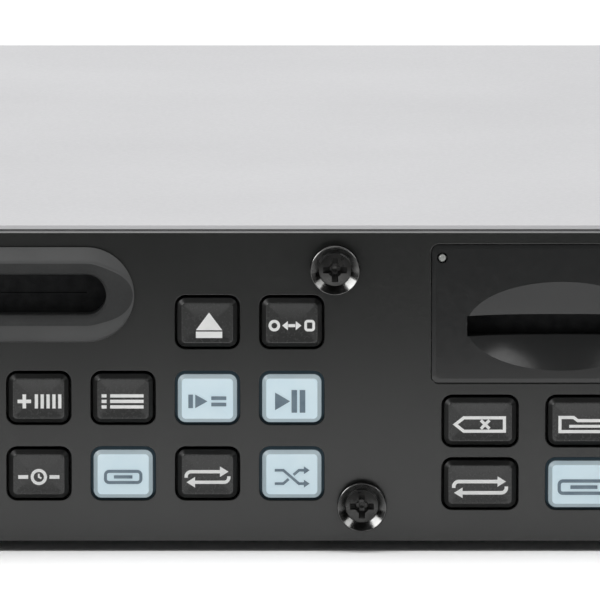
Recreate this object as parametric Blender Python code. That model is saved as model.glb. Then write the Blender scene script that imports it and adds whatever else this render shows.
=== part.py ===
# Rack digital recorder, one rack unit high: disc slot on the left, memory card slot on the right.
# All sizes are in metres. X runs right, Z runs up from the floor, and Y runs back.
# Places are written in the front panel's own frame, whose Y is zero on the panel's face.
import math

import bmesh
import bpy
from mathutils import Matrix, Vector

# Fits that every piece shares
FIT = 0.0003
OVERRUN = 0.002
CORNER_STEPS = 2
ROUND_STEPS = 16
STADIUM_STEPS = 7

# Rack panel
PANEL_WIDTH = 0.4826
PANEL_HEIGHT = 0.0437
PANEL_THICKNESS = 0.003
PANEL_CORNER = 0.0008
PANEL_CHAMFER = 0.0003
PANEL_LIFT = 0.0015
RACK_SLOT_INSET = 0.00875
RACK_SLOTS_APART = 0.03175
RACK_SLOT_WIDTH = 0.010
RACK_SLOT_HEIGHT = 0.007

# Casing
RACK_EAR = 0.0243
BODY_LENGTH = 0.2507
COVER_RISE = 0.0006
COVER_SHEET = 0.001
TRAY_SHEET = 0.0012
TRAY_LIP = 0.011
TRAY_FLANGE = 0.009
FOOT_RADIUS = 0.006
FOOT_HEIGHT = 0.0015
FOOT_STEM_RADIUS = 0.0015
FOOT_STEM_LENGTH = 0.0027
FOOT_INSET_X = 0.025
FOOT_INSET_Y = 0.027
FOOT_EDGE = 0.0005

# Disc slot and its bezel
DISC_SLOT_LEFT = 0.064
DISC_SLOT_BELOW_TOP = 0.0088
DISC_SLOT_SPARE = 0.0035
DISC_SLOT_HEIGHT = 0.00565
BEZEL_RIM = 0.004
BEZEL_RISE = 0.0014
BEZEL_NECK_WALL = 0.0013
BEZEL_NECK_REACH = 0.0014
BEZEL_RIM_SHARES = (
    (1.0, 0.0), (0.97, 0.35), (0.87, 0.7), (0.7, 0.93), (0.5, 1.0), (0.3, 0.9), (0.12, 0.6), (0.0, 0.1)
)

# Keys of both groups
KEY_CORNER = 0.0017
KEY_EDGE = 0.0006
KEY_RISE = 0.001
KEY_GAP = 0.00035
KEY_LIP = 0.0003
KEY_FLANGE = 0.001
KEY_TRAVEL = 0.0008
KEY_STEM_RADIUS = 0.0012
KEY_STEM_ENTRY = 0.002
STEM_ROUNDNESS_SHARE = 0.9
KEY_SLOPE_SHARE = 0.35

DISC_KEY_WIDTH = 0.0084
DISC_KEY_HEIGHT = 0.0069
DISC_KEYS_UNDER_SLOT = 0.02105
DISC_KEY_FIRST_Z = 0.00965
DISC_KEY_PITCH_X = 0.01185
DISC_KEY_PITCH_Z = 0.01073
DISC_KEY_COLUMNS = 5

CARD_KEY_WIDTH = 0.0101
CARD_KEY_HEIGHT = 0.0067
CARD_KEY_INSET = 0.0066
CARD_KEY_FIRST_Z = 0.0082
CARD_KEY_PITCH_X = 0.0146
CARD_KEY_PITCH_Z = 0.0089

# Key boards, with one push switch behind each key
BOARD_THICKNESS = 0.0016
BOARD_MARGIN = 0.0014
SWITCH_SIZE = 0.006
SWITCH_DEPTH = 0.0036
SWITCH_CLEARANCE = 0.0009
STUD_DIAGONAL_SHARE = 0.36
END_STUD_RADIUS = 0.0013

# Panel screws
SCREW_HEAD_RADIUS = 0.0035
SCREW_HEAD_HEIGHT = 0.0018
SCREW_SHANK_RADIUS = 0.00175
SCREW_LENGTH = 0.008
SCREW_CROSS_WIDTH = 0.0009
SCREW_CROSS_LENGTH = 0.0036
SCREW_CROSS_DEPTH = 0.0009
SCREW_INSET = 0.0051
UPPER_SCREW_GAP = 0.00605
LOWER_SCREW_GAP = 0.00985
LEFT_SCREW_GAP = 0.0035
RIGHT_SCREW_GAP = 0.008
SCREW_DOME_SHARES = ((0.5, 1.0), (0.84, 0.72), (1.0, 0.25), (1.0, 0.0))

# Display windows
DISC_WINDOW_INSET = 0.014
DISC_WINDOW_GAP = 0.0135
DISC_WINDOW_Z = 0.0245
DISC_WINDOW_HEIGHT = 0.026
CARD_WINDOW_GAP = 0.0163
KNOB_WINDOW_GAP = 0.014
CARD_WINDOW_Z = 0.0325
CARD_WINDOW_HEIGHT = 0.015
WINDOW_CORNER = 0.001
LENS_RECESS = 0.0003
LENS_LIP = 0.0012
LENS_LIP_THICKNESS = 0.001
GLASS_DEPTH = 0.005
GLASS_MARGIN = 0.001
DISPLAY_BOARD_MARGIN = 0.0045

# Memory card slot
CARD_PLATE_GAP = 0.0138
CARD_SLOT_Z = 0.0305
CARD_SLOT_WIDTH = 0.0265
CARD_SLOT_HEIGHT = 0.0029
CARD_PLATE_WIDTH = 0.036
CARD_PLATE_HEIGHT = 0.0191
CARD_PLATE_TOP_MARGIN = 0.0019
CARD_PLATE_CORNER = 0.0009
CARD_BODY_STEP = 0.001
CARD_BODY_DEPTH = 0.007
CARD_EAR = 0.0016
CARD_EAR_HEIGHT = 0.008
CARD_EAR_THICKNESS = 0.0012
SCOOP_WIDTH = 0.0274
SCOOP_HEIGHT = 0.0126
SCOOP_DEPTH = 0.0036
SCOOP_AROUND = 28
SCOOP_RINGS = 12
CARD_LAMP_INSET_X = 0.00126
CARD_LAMP_INSET_Z = 0.00163
CARD_LAMP_RADIUS = 0.00055
CARD_LAMP_RISE = 0.00015
CARD_LAMP_LENGTH = 0.008
SOCKET_WALL = 0.0018
SOCKET_DEPTH = 0.029
SOCKET_FLOOR = 0.002
SOCKET_BOARD_MARGIN = 0.003
SOCKET_POST_BACK = 0.006

# Record level control
KNOB_TO_BUTTON = 0.0325
KNOB_RADIUS = 0.008
KNOB_LENGTH = 0.0135
KNOB_GAP = 0.0005
KNOB_STEM_RADIUS = 0.003
KNOB_STEM_REACH = 0.010
KNOB_SHARES = ((0.81, 1.0), (0.91, 0.93), (0.94, 0.84), (0.94, 0.22), (1.0, 0.18), (1.0, 0.0))
CONTROL_BUSH_WALL = 0.0012
CONTROL_SIZE = 0.017
CONTROL_END_GAP = 0.001

# Power button
BUTTON_INSET = 0.0125
BUTTON_RADIUS = 0.0045
BUTTON_RISE = 0.0025
BUTTON_EDGE = 0.0005
BUTTON_CAP_REACH = 0.001
BUTTON_TRAVEL = 0.002
BUTTON_STEM_RADIUS = 0.002
BUTTON_STEM_LENGTH = 0.010
POWER_SWITCH_SIZE = 0.015
POWER_SWITCH_DEPTH = 0.022
POWER_SWITCH_SPARE = 0.0015

# Disc transport
DISC_RADIUS = 0.060
DISC_SIDE_ROOM = 0.008
DISC_FRONT_ROOM = 0.014
DISC_BACK_ROOM = 0.016
DRIVE_START = 0.018
DRIVE_SHEET = 0.0015
DRIVE_LIFT = 0.005
PATH_HEIGHT = 0.0048
CLAMP_SHEET = 0.0012
CLAMP_HOLE_RADIUS = 0.0155
CLAMPER_LIP = 0.0025
CLAMPER_CAP = 0.001
CLAMPER_DROP = 0.0002
MOTOR_RADIUS = 0.013
MOTOR_HEIGHT = 0.0125
TURNTABLE_RADIUS = 0.016
TURNTABLE_SHEET = 0.002
TURNTABLE_HUB_RADIUS = 0.0072
TURNTABLE_HUB_HEIGHT = 0.0014
TURNTABLE_NECK_RADIUS = 0.005
HUB_TIP_SHARE = 0.8
SPINDLE_RADIUS = 0.0015
SPINDLE_LENGTH = 0.008
ROLLER_RADIUS = 0.004
ROLLER_SHAFT_RADIUS = 0.0015
ROLLER_START = 0.008
ROLLER_WAIST_SHARE = 0.85
GEARMOTOR_LENGTH = 0.018
GEARMOTOR_SIZE = 0.011
GEARMOTOR_SHAFT_ENTRY = 0.005
RAIL_RADIUS = 0.0015
RAIL_OFFSET = 0.030
RAIL_ABOVE_DECK = 0.0145
RAIL_FRONT = 0.004
RAIL_BLOCK = 0.008
RAIL_BLOCK_DEPTH = 0.003
SCREW_GEAR_RADIUS = 0.005
SCREW_GEAR_THICKNESS = 0.002
SLED_WIDTH = 0.070
SLED_LENGTH = 0.018
SLED_HEIGHT = 0.008
SLED_START = 0.017
LASER_LENS_RADIUS = 0.0035
LASER_LENS_HEIGHT = 0.002
DRIVE_POST_INSET_X = 0.009
DRIVE_POST_INSET_Y = 0.014

# Boards on the tray's floor
POST_RADIUS = 0.0025
POST_SINK = 0.0006
BOARD_LIFT = 0.005
MAIN_BOARD_FRONT_GAP = 0.0207
MAIN_BOARD_REAR_GAP = 0.0068
BOARDS_APART = 0.008
POWER_BOARD_SIDE_GAP = 0.0065
POWER_BOARD_REAR_GAP = 0.0028
POWER_BOARD_WIDTH = 0.062
POWER_BOARD_LENGTH = 0.112
POST_INSET = 0.006
CHIP_SIZE = 0.016
CHIP_HEIGHT = 0.002
CAN_RADIUS = 0.0045
CAN_HEIGHT = 0.012
TRANSFORMER_WIDTH = 0.042
TRANSFORMER_HEIGHT = 0.026
HEAT_SINK_WIDTH = 0.030
HEAT_SINK_DEPTH = 0.005
HEAT_SINK_HEIGHT = 0.024
MAIN_CHIP_SHARES = ((0.3, 0.25), (0.62, 0.42), (0.3, 0.62))
MAIN_CAN_SHARES = ((0.84, 0.2), (0.84, 0.32), (0.84, 0.62), (0.12, 0.82))
POWER_CAN_SHARES = ((0.18, 0.1), (0.5, 0.1), (0.82, 0.1), (0.82, 0.3))
POWER_COIL_SHARES = (0.42, 0.55)
POWER_SINK_SHARES = (0.5, 0.27)

# Flat cable from the transport to the main board
RIBBON_RUN = 0.016
RIBBON_INSET = 0.022
RIBBON_WIDTH = 0.020
RIBBON_THICKNESS = 0.0008
RIBBON_ABOVE_DECK = 0.006
RIBBON_ABOVE_BOARD = 0.0016
RIBBON_BEND_SHARES = ((0.0, 1.0), (0.3, 1.0), (0.42, 0.85), (0.58, 0.15), (0.7, 0.0), (1.0, 0.0))
PLUG_DEPTH = 0.005
PLUG_HEIGHT = 0.005

# Rear connectors
INLET_Z = 0.0205
INLET_FLANGE_WIDTH = 0.031
INLET_FLANGE_HEIGHT = 0.024
INLET_FLANGE_THICKNESS = 0.0025
INLET_BODY_WIDTH = 0.0272
INLET_BODY_HEIGHT = 0.0200
INLET_BODY_DEPTH = 0.0195
INLET_CAVITY_WIDTH = 0.0244
INLET_CAVITY_HEIGHT = 0.0164
INLET_CAVITY_DEPTH = 0.015
INLET_CORNER = 0.003
PIN_WIDTH = 0.002
PIN_HEIGHT = 0.004
PIN_SPREAD = 0.007
PIN_SHORT = 0.002
EARTH_PIN_UP = 0.0035
LINE_PINS_DOWN = 0.0025
JACK_INSET = 0.054
JACK_Z = 0.0195
JACK_SPREAD = 0.007
JACK_RADIUS = 0.0042
JACK_BORE_RADIUS = 0.0016
JACK_REACH = 0.009
JACK_BLOCK_WIDTH = 0.028
JACK_BLOCK_TOP = 0.011
JACK_BLOCK_DEPTH = 0.012

# Places worked out from the sizes above
RACK_SLOTS_ACROSS = PANEL_WIDTH - 2 * RACK_SLOT_INSET
BODY_WIDTH = PANEL_WIDTH - 2 * RACK_EAR
PANEL_TOP = PANEL_LIFT + PANEL_HEIGHT
PANEL_MIDDLE = PANEL_LIFT + PANEL_HEIGHT / 2
BODY_FRONT = PANEL_THICKNESS + FIT
BODY_BACK = BODY_FRONT + BODY_LENGTH
COVER_TOP = PANEL_TOP + COVER_RISE
TRAY_BOTTOM = FOOT_HEIGHT + FIT
TRAY_FLOOR = TRAY_BOTTOM + TRAY_SHEET
TRAY_TOP = COVER_TOP - COVER_SHEET - FIT
TRAY_HALF = BODY_WIDTH / 2 - COVER_SHEET - FIT
WALL_FRONT = BODY_FRONT
WALL_BACK = WALL_FRONT + TRAY_SHEET
REAR_WALL = BODY_BACK - TRAY_SHEET
FRONT_REACH = KNOB_GAP + KNOB_LENGTH
FRONT_Y = -(BODY_BACK + JACK_REACH - FRONT_REACH) / 2

DISC_Z = PANEL_TOP - DISC_SLOT_BELOW_TOP
DISC_SLOT_X = -DISC_SLOT_LEFT
DISC_SLOT_WIDTH = 2 * (DISC_RADIUS + DISC_SLOT_SPARE)
DISC_SLOT_START = DISC_SLOT_X - DISC_SLOT_WIDTH / 2
DISC_SLOT_END = DISC_SLOT_X + DISC_SLOT_WIDTH / 2
DISC_KEY_FIRST_X = DISC_SLOT_END - DISC_KEYS_UNDER_SLOT
DISC_KEY_LAST_X = DISC_KEY_FIRST_X + (DISC_KEY_COLUMNS - 1) * DISC_KEY_PITCH_X
KEY_FLANGE_FRONT = PANEL_THICKNESS + FIT
KEY_FLANGE_BACK = KEY_FLANGE_FRONT + KEY_FLANGE
SWITCH_FRONT = KEY_FLANGE_BACK + KEY_TRAVEL + SWITCH_CLEARANCE
KEY_BOARD_FRONT = SWITCH_FRONT + SWITCH_DEPTH
KEY_BOARD_BACK = KEY_BOARD_FRONT + BOARD_THICKNESS
KEY_STEM_END = SWITCH_FRONT + KEY_STEM_ENTRY

LENS_LIP_FRONT = PANEL_THICKNESS + FIT
GLASS_FRONT = LENS_LIP_FRONT + LENS_LIP_THICKNESS + FIT
GLASS_BACK = GLASS_FRONT + GLASS_DEPTH

UPPER_SCREW_X = DISC_KEY_LAST_X + UPPER_SCREW_GAP
LOWER_SCREW_X = DISC_KEY_LAST_X + LOWER_SCREW_GAP
CARD_PLATE_START = UPPER_SCREW_X + CARD_PLATE_GAP
CARD_SLOT_X = CARD_PLATE_START + CARD_PLATE_WIDTH / 2
CARD_KEY_FIRST_X = CARD_PLATE_START + CARD_KEY_INSET
BUTTON_X = BODY_WIDTH / 2 - BUTTON_INSET
KNOB_X = BUTTON_X - KNOB_TO_BUTTON
DISC_WINDOW_START = DISC_WINDOW_INSET - BODY_WIDTH / 2
DISC_WINDOW_END = DISC_SLOT_START - DISC_WINDOW_GAP
CARD_WINDOW_START = CARD_PLATE_START + CARD_PLATE_WIDTH + CARD_WINDOW_GAP
CARD_WINDOW_END = KNOB_X - KNOB_RADIUS - KNOB_WINDOW_GAP
LEFT_SCREW_X = DISC_SLOT_START - LEFT_SCREW_GAP
RIGHT_SCREW_X = CARD_WINDOW_END + RIGHT_SCREW_GAP

CARD_Z = PANEL_LIFT + CARD_SLOT_Z
CARD_PLATE_Z = PANEL_TOP - CARD_PLATE_TOP_MARGIN - CARD_PLATE_HEIGHT / 2
SOCKET_FRONT = CARD_BODY_DEPTH + FIT
SOCKET_HALF = CARD_SLOT_WIDTH / 2 + SOCKET_WALL
SOCKET_BOTTOM = CARD_Z - CARD_SLOT_HEIGHT / 2 - SOCKET_WALL
SOCKET_BOARD_BOTTOM = SOCKET_BOTTOM - BOARD_THICKNESS / 2

DRIVE_HALF = DISC_RADIUS + DISC_SIDE_ROOM
DRIVE_LEFT = DISC_SLOT_X - DRIVE_HALF
DRIVE_RIGHT = DISC_SLOT_X + DRIVE_HALF
SPINDLE_Y = DRIVE_START + DISC_FRONT_ROOM + DISC_RADIUS
DRIVE_END = SPINDLE_Y + DISC_RADIUS + DISC_BACK_ROOM
DECK_BOTTOM = TRAY_FLOOR + DRIVE_LIFT
DECK_TOP = DECK_BOTTOM + DRIVE_SHEET
PATH_BOTTOM = DISC_Z - PATH_HEIGHT / 2
DRIVE_TOP = DISC_Z + PATH_HEIGHT / 2 + FIT
CLAMP_BOTTOM = DRIVE_TOP + FIT
CLAMP_TOP = CLAMP_BOTTOM + CLAMP_SHEET
HUB_TOP = PATH_BOTTOM - FIT
TURNTABLE_TOP = HUB_TOP - TURNTABLE_HUB_HEIGHT
MOTOR_BOTTOM = DECK_TOP + FIT
MOTOR_TOP = MOTOR_BOTTOM + MOTOR_HEIGHT
ROLLER_Z = PATH_BOTTOM - FIT - ROLLER_RADIUS
ROLLER_Y = DRIVE_START + ROLLER_START
RAIL_Z = DECK_TOP + RAIL_ABOVE_DECK
RAIL_BLOCK_Y = SPINDLE_Y + RAIL_FRONT
SLED_Y = SPINDLE_Y + MOTOR_RADIUS + SLED_START
BOARD_BOTTOM = TRAY_FLOOR + BOARD_LIFT + FIT
BOARD_TOP = BOARD_BOTTOM + BOARD_THICKNESS
INLET_FRONT = BODY_BACK + FIT - INLET_BODY_DEPTH
POWER_BOARD_X = TRAY_HALF - TRAY_SHEET - POWER_BOARD_SIDE_GAP - POWER_BOARD_WIDTH
POWER_BOARD_Y = INLET_FRONT - POWER_BOARD_REAR_GAP - POWER_BOARD_LENGTH
INLET_X = POWER_BOARD_X + POWER_BOARD_WIDTH / 2
MAIN_BOARD_X = DRIVE_RIGHT + RIBBON_RUN
MAIN_BOARD_Y = SOCKET_FRONT + SOCKET_DEPTH + SOCKET_BOARD_MARGIN + MAIN_BOARD_FRONT_GAP
MAIN_BOARD_WIDTH = POWER_BOARD_X - BOARDS_APART - MAIN_BOARD_X
MAIN_BOARD_LENGTH = REAR_WALL - MAIN_BOARD_REAR_GAP - MAIN_BOARD_Y
JACK_X = MAIN_BOARD_X + JACK_INSET
RIBBON_START_Y = MAIN_BOARD_Y + RIBBON_INSET
RIBBON_HIGH = DECK_TOP + RIBBON_ABOVE_DECK
RIBBON_LOW = BOARD_TOP + RIBBON_ABOVE_BOARD

# Which key sits in which column and row, counted from the lower left
DISC_KEYS = {
    "skip_back_key": (0, 0),
    "skip_forward_key": (0, 1),
    "time_key": (1, 0),
    "plus_ten_key": (1, 1),
    "single_key": (2, 0),
    "program_key": (2, 1),
    "repeat_key": (3, 0),
    "cue_key": (3, 1),
    "eject_key": (3, 2),
    "shuffle_key": (4, 0),
    "play_key": (4, 1),
    "source_key": (4, 2),
}
CARD_KEYS = {
    "card_repeat_key": (0, 0),
    "card_delete_key": (0, 1),
    "card_single_key": (1, 0),
    "card_folder_key": (1, 1),
    "card_stop_key": (2, 0),
    "card_record_key": (2, 1),
    "card_play_key": (3, 0),
    "card_pause_key": (3, 1),
}
LIT_KEYS = ("single_key", "cue_key", "shuffle_key", "play_key", "card_single_key", "card_play_key")

# Panel screws: the two in view stand between the disc and card sides
PANEL_SCREWS = {
    "panel_screw_upper": (UPPER_SCREW_X, PANEL_TOP - SCREW_INSET),
    "panel_screw_lower": (LOWER_SCREW_X, PANEL_LIFT + SCREW_INSET),
    "panel_screw_left": (LEFT_SCREW_X, PANEL_LIFT + SCREW_INSET),
    "panel_screw_right": (RIGHT_SCREW_X, PANEL_TOP - SCREW_INSET),
}

for old in list(bpy.data.objects):
    bpy.data.objects.remove(old, do_unlink=True)

root = bpy.data.objects.new("recorder_frame", None)
bpy.context.collection.objects.link(root)
root.location = (0, FRONT_Y, 0)


# Directions in which a stack of outlines can grow
def backwards(u, v, w):
    return Vector((u, w, v))


def upwards(u, v, w):
    return Vector((u, v, w))


def rightwards(u, v, w):
    return Vector((w, u, v))


def material(name, colour, roughness, metallic=0.0):
    made = bpy.data.materials.new(name)
    made.use_nodes = True
    shader = made.node_tree.nodes["Principled BSDF"]
    shader.inputs["Base Color"].default_value = (*colour, 1.0)
    shader.inputs["Roughness"].default_value = roughness
    shader.inputs["Metallic"].default_value = metallic
    return made


PANEL_PAINT = material("panel_paint", (0.035, 0.036, 0.034), 0.5)
COVER_PAINT = material("cover_paint", (0.62, 0.63, 0.64), 0.5)
ZINC_SHEET = material("zinc_sheet", (0.5, 0.51, 0.52), 0.35, 0.9)
BLACK_PLASTIC = material("black_plastic", (0.02, 0.02, 0.02), 0.4)
LIT_PLASTIC = material("lit_plastic", (0.6, 0.75, 0.85), 0.4)
KEY_PLASTIC = material("key_plastic", (0.03, 0.03, 0.03), 0.35)
RUBBER = material("foot_rubber", (0.03, 0.03, 0.03), 0.8)
CHROME = material("screw_chrome", (0.75, 0.76, 0.78), 0.15, 1.0)
BOARD_GREEN = material("board_green", (0.03, 0.16, 0.06), 0.4)
DISPLAY_GLASS = material("display_glass", (0.02, 0.03, 0.03), 0.1)
LENS_SMOKE = material("lens_smoke", (0.03, 0.03, 0.035), 0.15)
LAMP_CLEAR = material("lamp_clear", (0.7, 0.72, 0.7), 0.2)
STEEL = material("bright_steel", (0.6, 0.6, 0.6), 0.25, 1.0)
RIBBON_GREY = material("ribbon_grey", (0.45, 0.46, 0.5), 0.6)


def rounded(width, height, radius, x=0.0, y=0.0):
    # A rectangle with arcs at its corners, anticlockwise
    points = []
    for corner in range(4):
        turn = math.pi / 2 * corner
        side_x = 1 if corner in (0, 3) else -1
        side_y = 1 if corner in (0, 1) else -1
        for step in range(CORNER_STEPS + 1):
            angle = turn + math.pi / 2 * step / CORNER_STEPS
            points.append((
                x + side_x * (width / 2 - radius) + radius * math.cos(angle),
                y + side_y * (height / 2 - radius) + radius * math.sin(angle),
            ))
    return points


def stadium(width, height, x=0.0, y=0.0):
    # A slot with half-round ends
    points = []
    for end in range(2):
        middle = x + (1 - 2 * end) * (width - height) / 2
        for step in range(STADIUM_STEPS + 1):
            angle = math.pi * (end - 0.5 + step / STADIUM_STEPS)
            points.append((middle + height / 2 * math.cos(angle), y + height / 2 * math.sin(angle)))
    return points


def circle(radius, x=0.0, y=0.0, steps=ROUND_STEPS):
    turns = [2 * math.pi * step / steps for step in range(steps)]
    return [(x + radius * math.cos(turn), y + radius * math.sin(turn)) for turn in turns]


def rectangle(low_x, low_y, high_x, high_y):
    return [(low_x, low_y), (high_x, low_y), (high_x, high_y), (low_x, high_y)]


def show(name, mesh, place, finish):
    thing = bpy.data.objects.new(name, mesh)
    bpy.context.collection.objects.link(thing)
    thing.parent = root
    thing.location = place
    if finish is None:
        thing.hide_render = True
        thing.display_type = "WIRE"
    else:
        mesh.materials.append(finish)
    return thing


def stack(name, layers, along=upwards, place=(0, 0, 0), finish=None, looped=False, smooth=False):
    # Skins a row of outlines that have as many points each, and closes its two ends
    shape = bmesh.new()
    rings = [[shape.verts.new(along(u, v, depth)) for u, v in outline] for outline, depth in layers]
    pairs = list(zip(rings, rings[1:]))
    if looped:
        pairs.append((rings[-1], rings[0]))
    else:
        shape.faces.new(rings[0])
        shape.faces.new(rings[-1])
    for near, far in pairs:
        for i in range(len(near)):
            j = (i + 1) % len(near)
            shape.faces.new((near[i], near[j], far[j], far[i]))
    bmesh.ops.recalc_face_normals(shape, faces=shape.faces)
    mesh = bpy.data.meshes.new(name)
    shape.to_mesh(mesh)
    shape.free()
    if smooth:
        mesh.shade_smooth()
        mesh.set_sharp_from_angle(angle=math.radians(35))
    return show(name, mesh, place, finish)


def prism(name, outline, start, end, along=upwards, place=(0, 0, 0), finish=None, smooth=False):
    return stack(name, ((outline, start), (outline, end)), along, place, finish, smooth=smooth)


def block(name, low, high, finish=None):
    # An upright box between two corners, placed by the middle of its underside
    shape = bmesh.new()
    size = [high[i] - low[i] for i in range(3)]
    bmesh.ops.create_cube(shape, size=1.0)
    bmesh.ops.scale(shape, vec=size, verts=shape.verts)
    bmesh.ops.translate(shape, vec=(0, 0, size[2] / 2), verts=shape.verts)
    mesh = bpy.data.meshes.new(name)
    shape.to_mesh(mesh)
    shape.free()
    return show(name, mesh, ((low[0] + high[0]) / 2, (low[1] + high[1]) / 2, low[2]), finish)


def boolean(target, pieces, operation):
    # One Boolean for a whole group of helper shapes
    group = bpy.data.collections.new(f"{target.name}_{operation.lower()}")
    bpy.context.scene.collection.children.link(group)
    for piece in pieces:
        group.objects.link(piece)
    step = target.modifiers.new(operation.title(), "BOOLEAN")
    step.operation = operation
    step.operand_type = "COLLECTION"
    step.collection = group
    step.solver = "EXACT"


def cut(target, *pieces):
    boolean(target, pieces, "DIFFERENCE")


def fuse(target, *pieces):
    boolean(target, pieces, "UNION")


def disc_key_place(column, row):
    return (
        DISC_KEY_FIRST_X + column * DISC_KEY_PITCH_X,
        PANEL_LIFT + DISC_KEY_FIRST_Z + row * DISC_KEY_PITCH_Z,
    )


def card_key_place(column, row):
    return (
        CARD_KEY_FIRST_X + column * CARD_KEY_PITCH_X,
        PANEL_LIFT + CARD_KEY_FIRST_Z + row * CARD_KEY_PITCH_Z,
    )


KEY_PLACES = {name: disc_key_place(*cell) for name, cell in DISC_KEYS.items()}
KEY_PLACES.update({name: card_key_place(*cell) for name, cell in CARD_KEYS.items()})


def key_size(name):
    if name in DISC_KEYS:
        return DISC_KEY_WIDTH, DISC_KEY_HEIGHT
    return CARD_KEY_WIDTH, CARD_KEY_HEIGHT


def crossing_stud(place_of, column, row, size, pitch_x, pitch_z):
    # A stud in the middle of four keys: where it stands, and how thick it may be
    near = place_of(column, row)
    far = place_of(column + 1, row + 1)
    spread = 2 * (KEY_GAP + KEY_LIP)
    diagonal = math.hypot(pitch_x - size[0] - spread, pitch_z - size[1] - spread)
    return (near[0] + far[0]) / 2, (near[1] + far[1]) / 2, diagonal * STUD_DIAGONAL_SHARE


DISC_KEY_SIZE = (DISC_KEY_WIDTH, DISC_KEY_HEIGHT)
CARD_KEY_SIZE = (CARD_KEY_WIDTH, CARD_KEY_HEIGHT)
DISC_STUDS = [
    crossing_stud(disc_key_place, column, row, DISC_KEY_SIZE, DISC_KEY_PITCH_X, DISC_KEY_PITCH_Z)
    for column, row in ((0, 0), (2, 0), (3, 1))
]
CARD_STUDS = [
    crossing_stud(card_key_place, column, 0, CARD_KEY_SIZE, CARD_KEY_PITCH_X, CARD_KEY_PITCH_Z)
    for column in (0, 2)
]


def key_field(places, size, margin):
    # The rectangle that holds these keys' lips, with a margin round it
    reach_x = size[0] / 2 + KEY_GAP + KEY_LIP + margin
    reach_z = size[1] / 2 + KEY_GAP + KEY_LIP + margin
    columns = [x for x, z in places]
    rows = [z for x, z in places]
    return min(columns) - reach_x, min(rows) - reach_z, max(columns) + reach_x, max(rows) + reach_z


def window_edges(x, z, width, height, margin_x, margin_z):
    half_x = width / 2 + margin_x
    half_z = height / 2 + margin_z
    return x - half_x, z - half_z, x + half_x, z + half_z


def window_between(start, end, z, height):
    # A window fills the room between its neighbours
    return (start + end) / 2, PANEL_LIFT + z, end - start, height


WINDOWS = {
    "disc": window_between(DISC_WINDOW_START, DISC_WINDOW_END, DISC_WINDOW_Z, DISC_WINDOW_HEIGHT),
    "card": window_between(CARD_WINDOW_START, CARD_WINDOW_END, CARD_WINDOW_Z, CARD_WINDOW_HEIGHT),
}


def window_studs(x, z, width, height):
    reach = width / 2 + LENS_LIP + FIT + END_STUD_RADIUS
    return [(x - reach, z, END_STUD_RADIUS), (x + reach, z, END_STUD_RADIUS)]


def front_panel():
    face_width = PANEL_WIDTH - 2 * PANEL_CHAMFER
    face_height = PANEL_HEIGHT - 2 * PANEL_CHAMFER
    face = rounded(face_width, face_height, PANEL_CORNER, 0, PANEL_MIDDLE)
    edge = rounded(PANEL_WIDTH, PANEL_HEIGHT, PANEL_CORNER, 0, PANEL_MIDDLE)
    layers = ((face, 0), (edge, PANEL_CHAMFER), (edge, PANEL_THICKNESS))
    panel = stack("front_panel", layers, backwards, finish=PANEL_PAINT)
    outlines = []
    for side in (-1, 1):
        for level in (-1, 1):
            x = side * RACK_SLOTS_ACROSS / 2
            z = PANEL_MIDDLE + level * RACK_SLOTS_APART / 2
            outlines.append(stadium(RACK_SLOT_WIDTH, RACK_SLOT_HEIGHT, x, z))
    neck = BEZEL_NECK_WALL + FIT
    outlines.append(stadium(DISC_SLOT_WIDTH + 2 * neck, DISC_SLOT_HEIGHT + 2 * neck, DISC_SLOT_X, DISC_Z))
    for name, (x, z) in KEY_PLACES.items():
        width, height = key_size(name)
        outlines.append(rounded(width + 2 * KEY_GAP, height + 2 * KEY_GAP, KEY_CORNER + KEY_GAP, x, z))
    for x, z, width, height in WINDOWS.values():
        outlines.append(rounded(width, height, WINDOW_CORNER, x, z))
    plate_width = CARD_PLATE_WIDTH + 2 * FIT
    plate_height = CARD_PLATE_HEIGHT + 2 * FIT
    outlines.append(rounded(plate_width, plate_height, CARD_PLATE_CORNER, CARD_SLOT_X, CARD_PLATE_Z))
    for x, z in PANEL_SCREWS.values():
        outlines.append(circle(SCREW_SHANK_RADIUS + FIT, x, z))
    outlines.append(circle(KNOB_STEM_RADIUS + FIT + CONTROL_BUSH_WALL + FIT, KNOB_X, PANEL_MIDDLE))
    outlines.append(circle(BUTTON_RADIUS + FIT, BUTTON_X, PANEL_MIDDLE))
    start = -OVERRUN
    end = PANEL_THICKNESS + OVERRUN
    cut(panel, *[
        prism(f"panel_hole_{i}", outline, start, end, backwards) for i, outline in enumerate(outlines)
    ])
    studs = DISC_STUDS + CARD_STUDS
    stud_end = KEY_BOARD_FRONT - FIT
    pieces = [
        prism(f"board_stud_{i}", circle(radius, steps=8), PANEL_THICKNESS / 2, stud_end, backwards, (x, 0, z))
        for i, (x, z, radius) in enumerate(studs)
    ]
    window_end = GLASS_BACK - BOARD_THICKNESS / 2 - FIT
    for name, window in WINDOWS.items():
        for i, (x, z, radius) in enumerate(window_studs(*window)):
            stud = circle(radius, steps=8)
            start = PANEL_THICKNESS / 2
            pieces.append(prism(f"{name}_stud_{i}", stud, start, window_end, backwards, (x, 0, z)))
    fuse(panel, *pieces)


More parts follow.
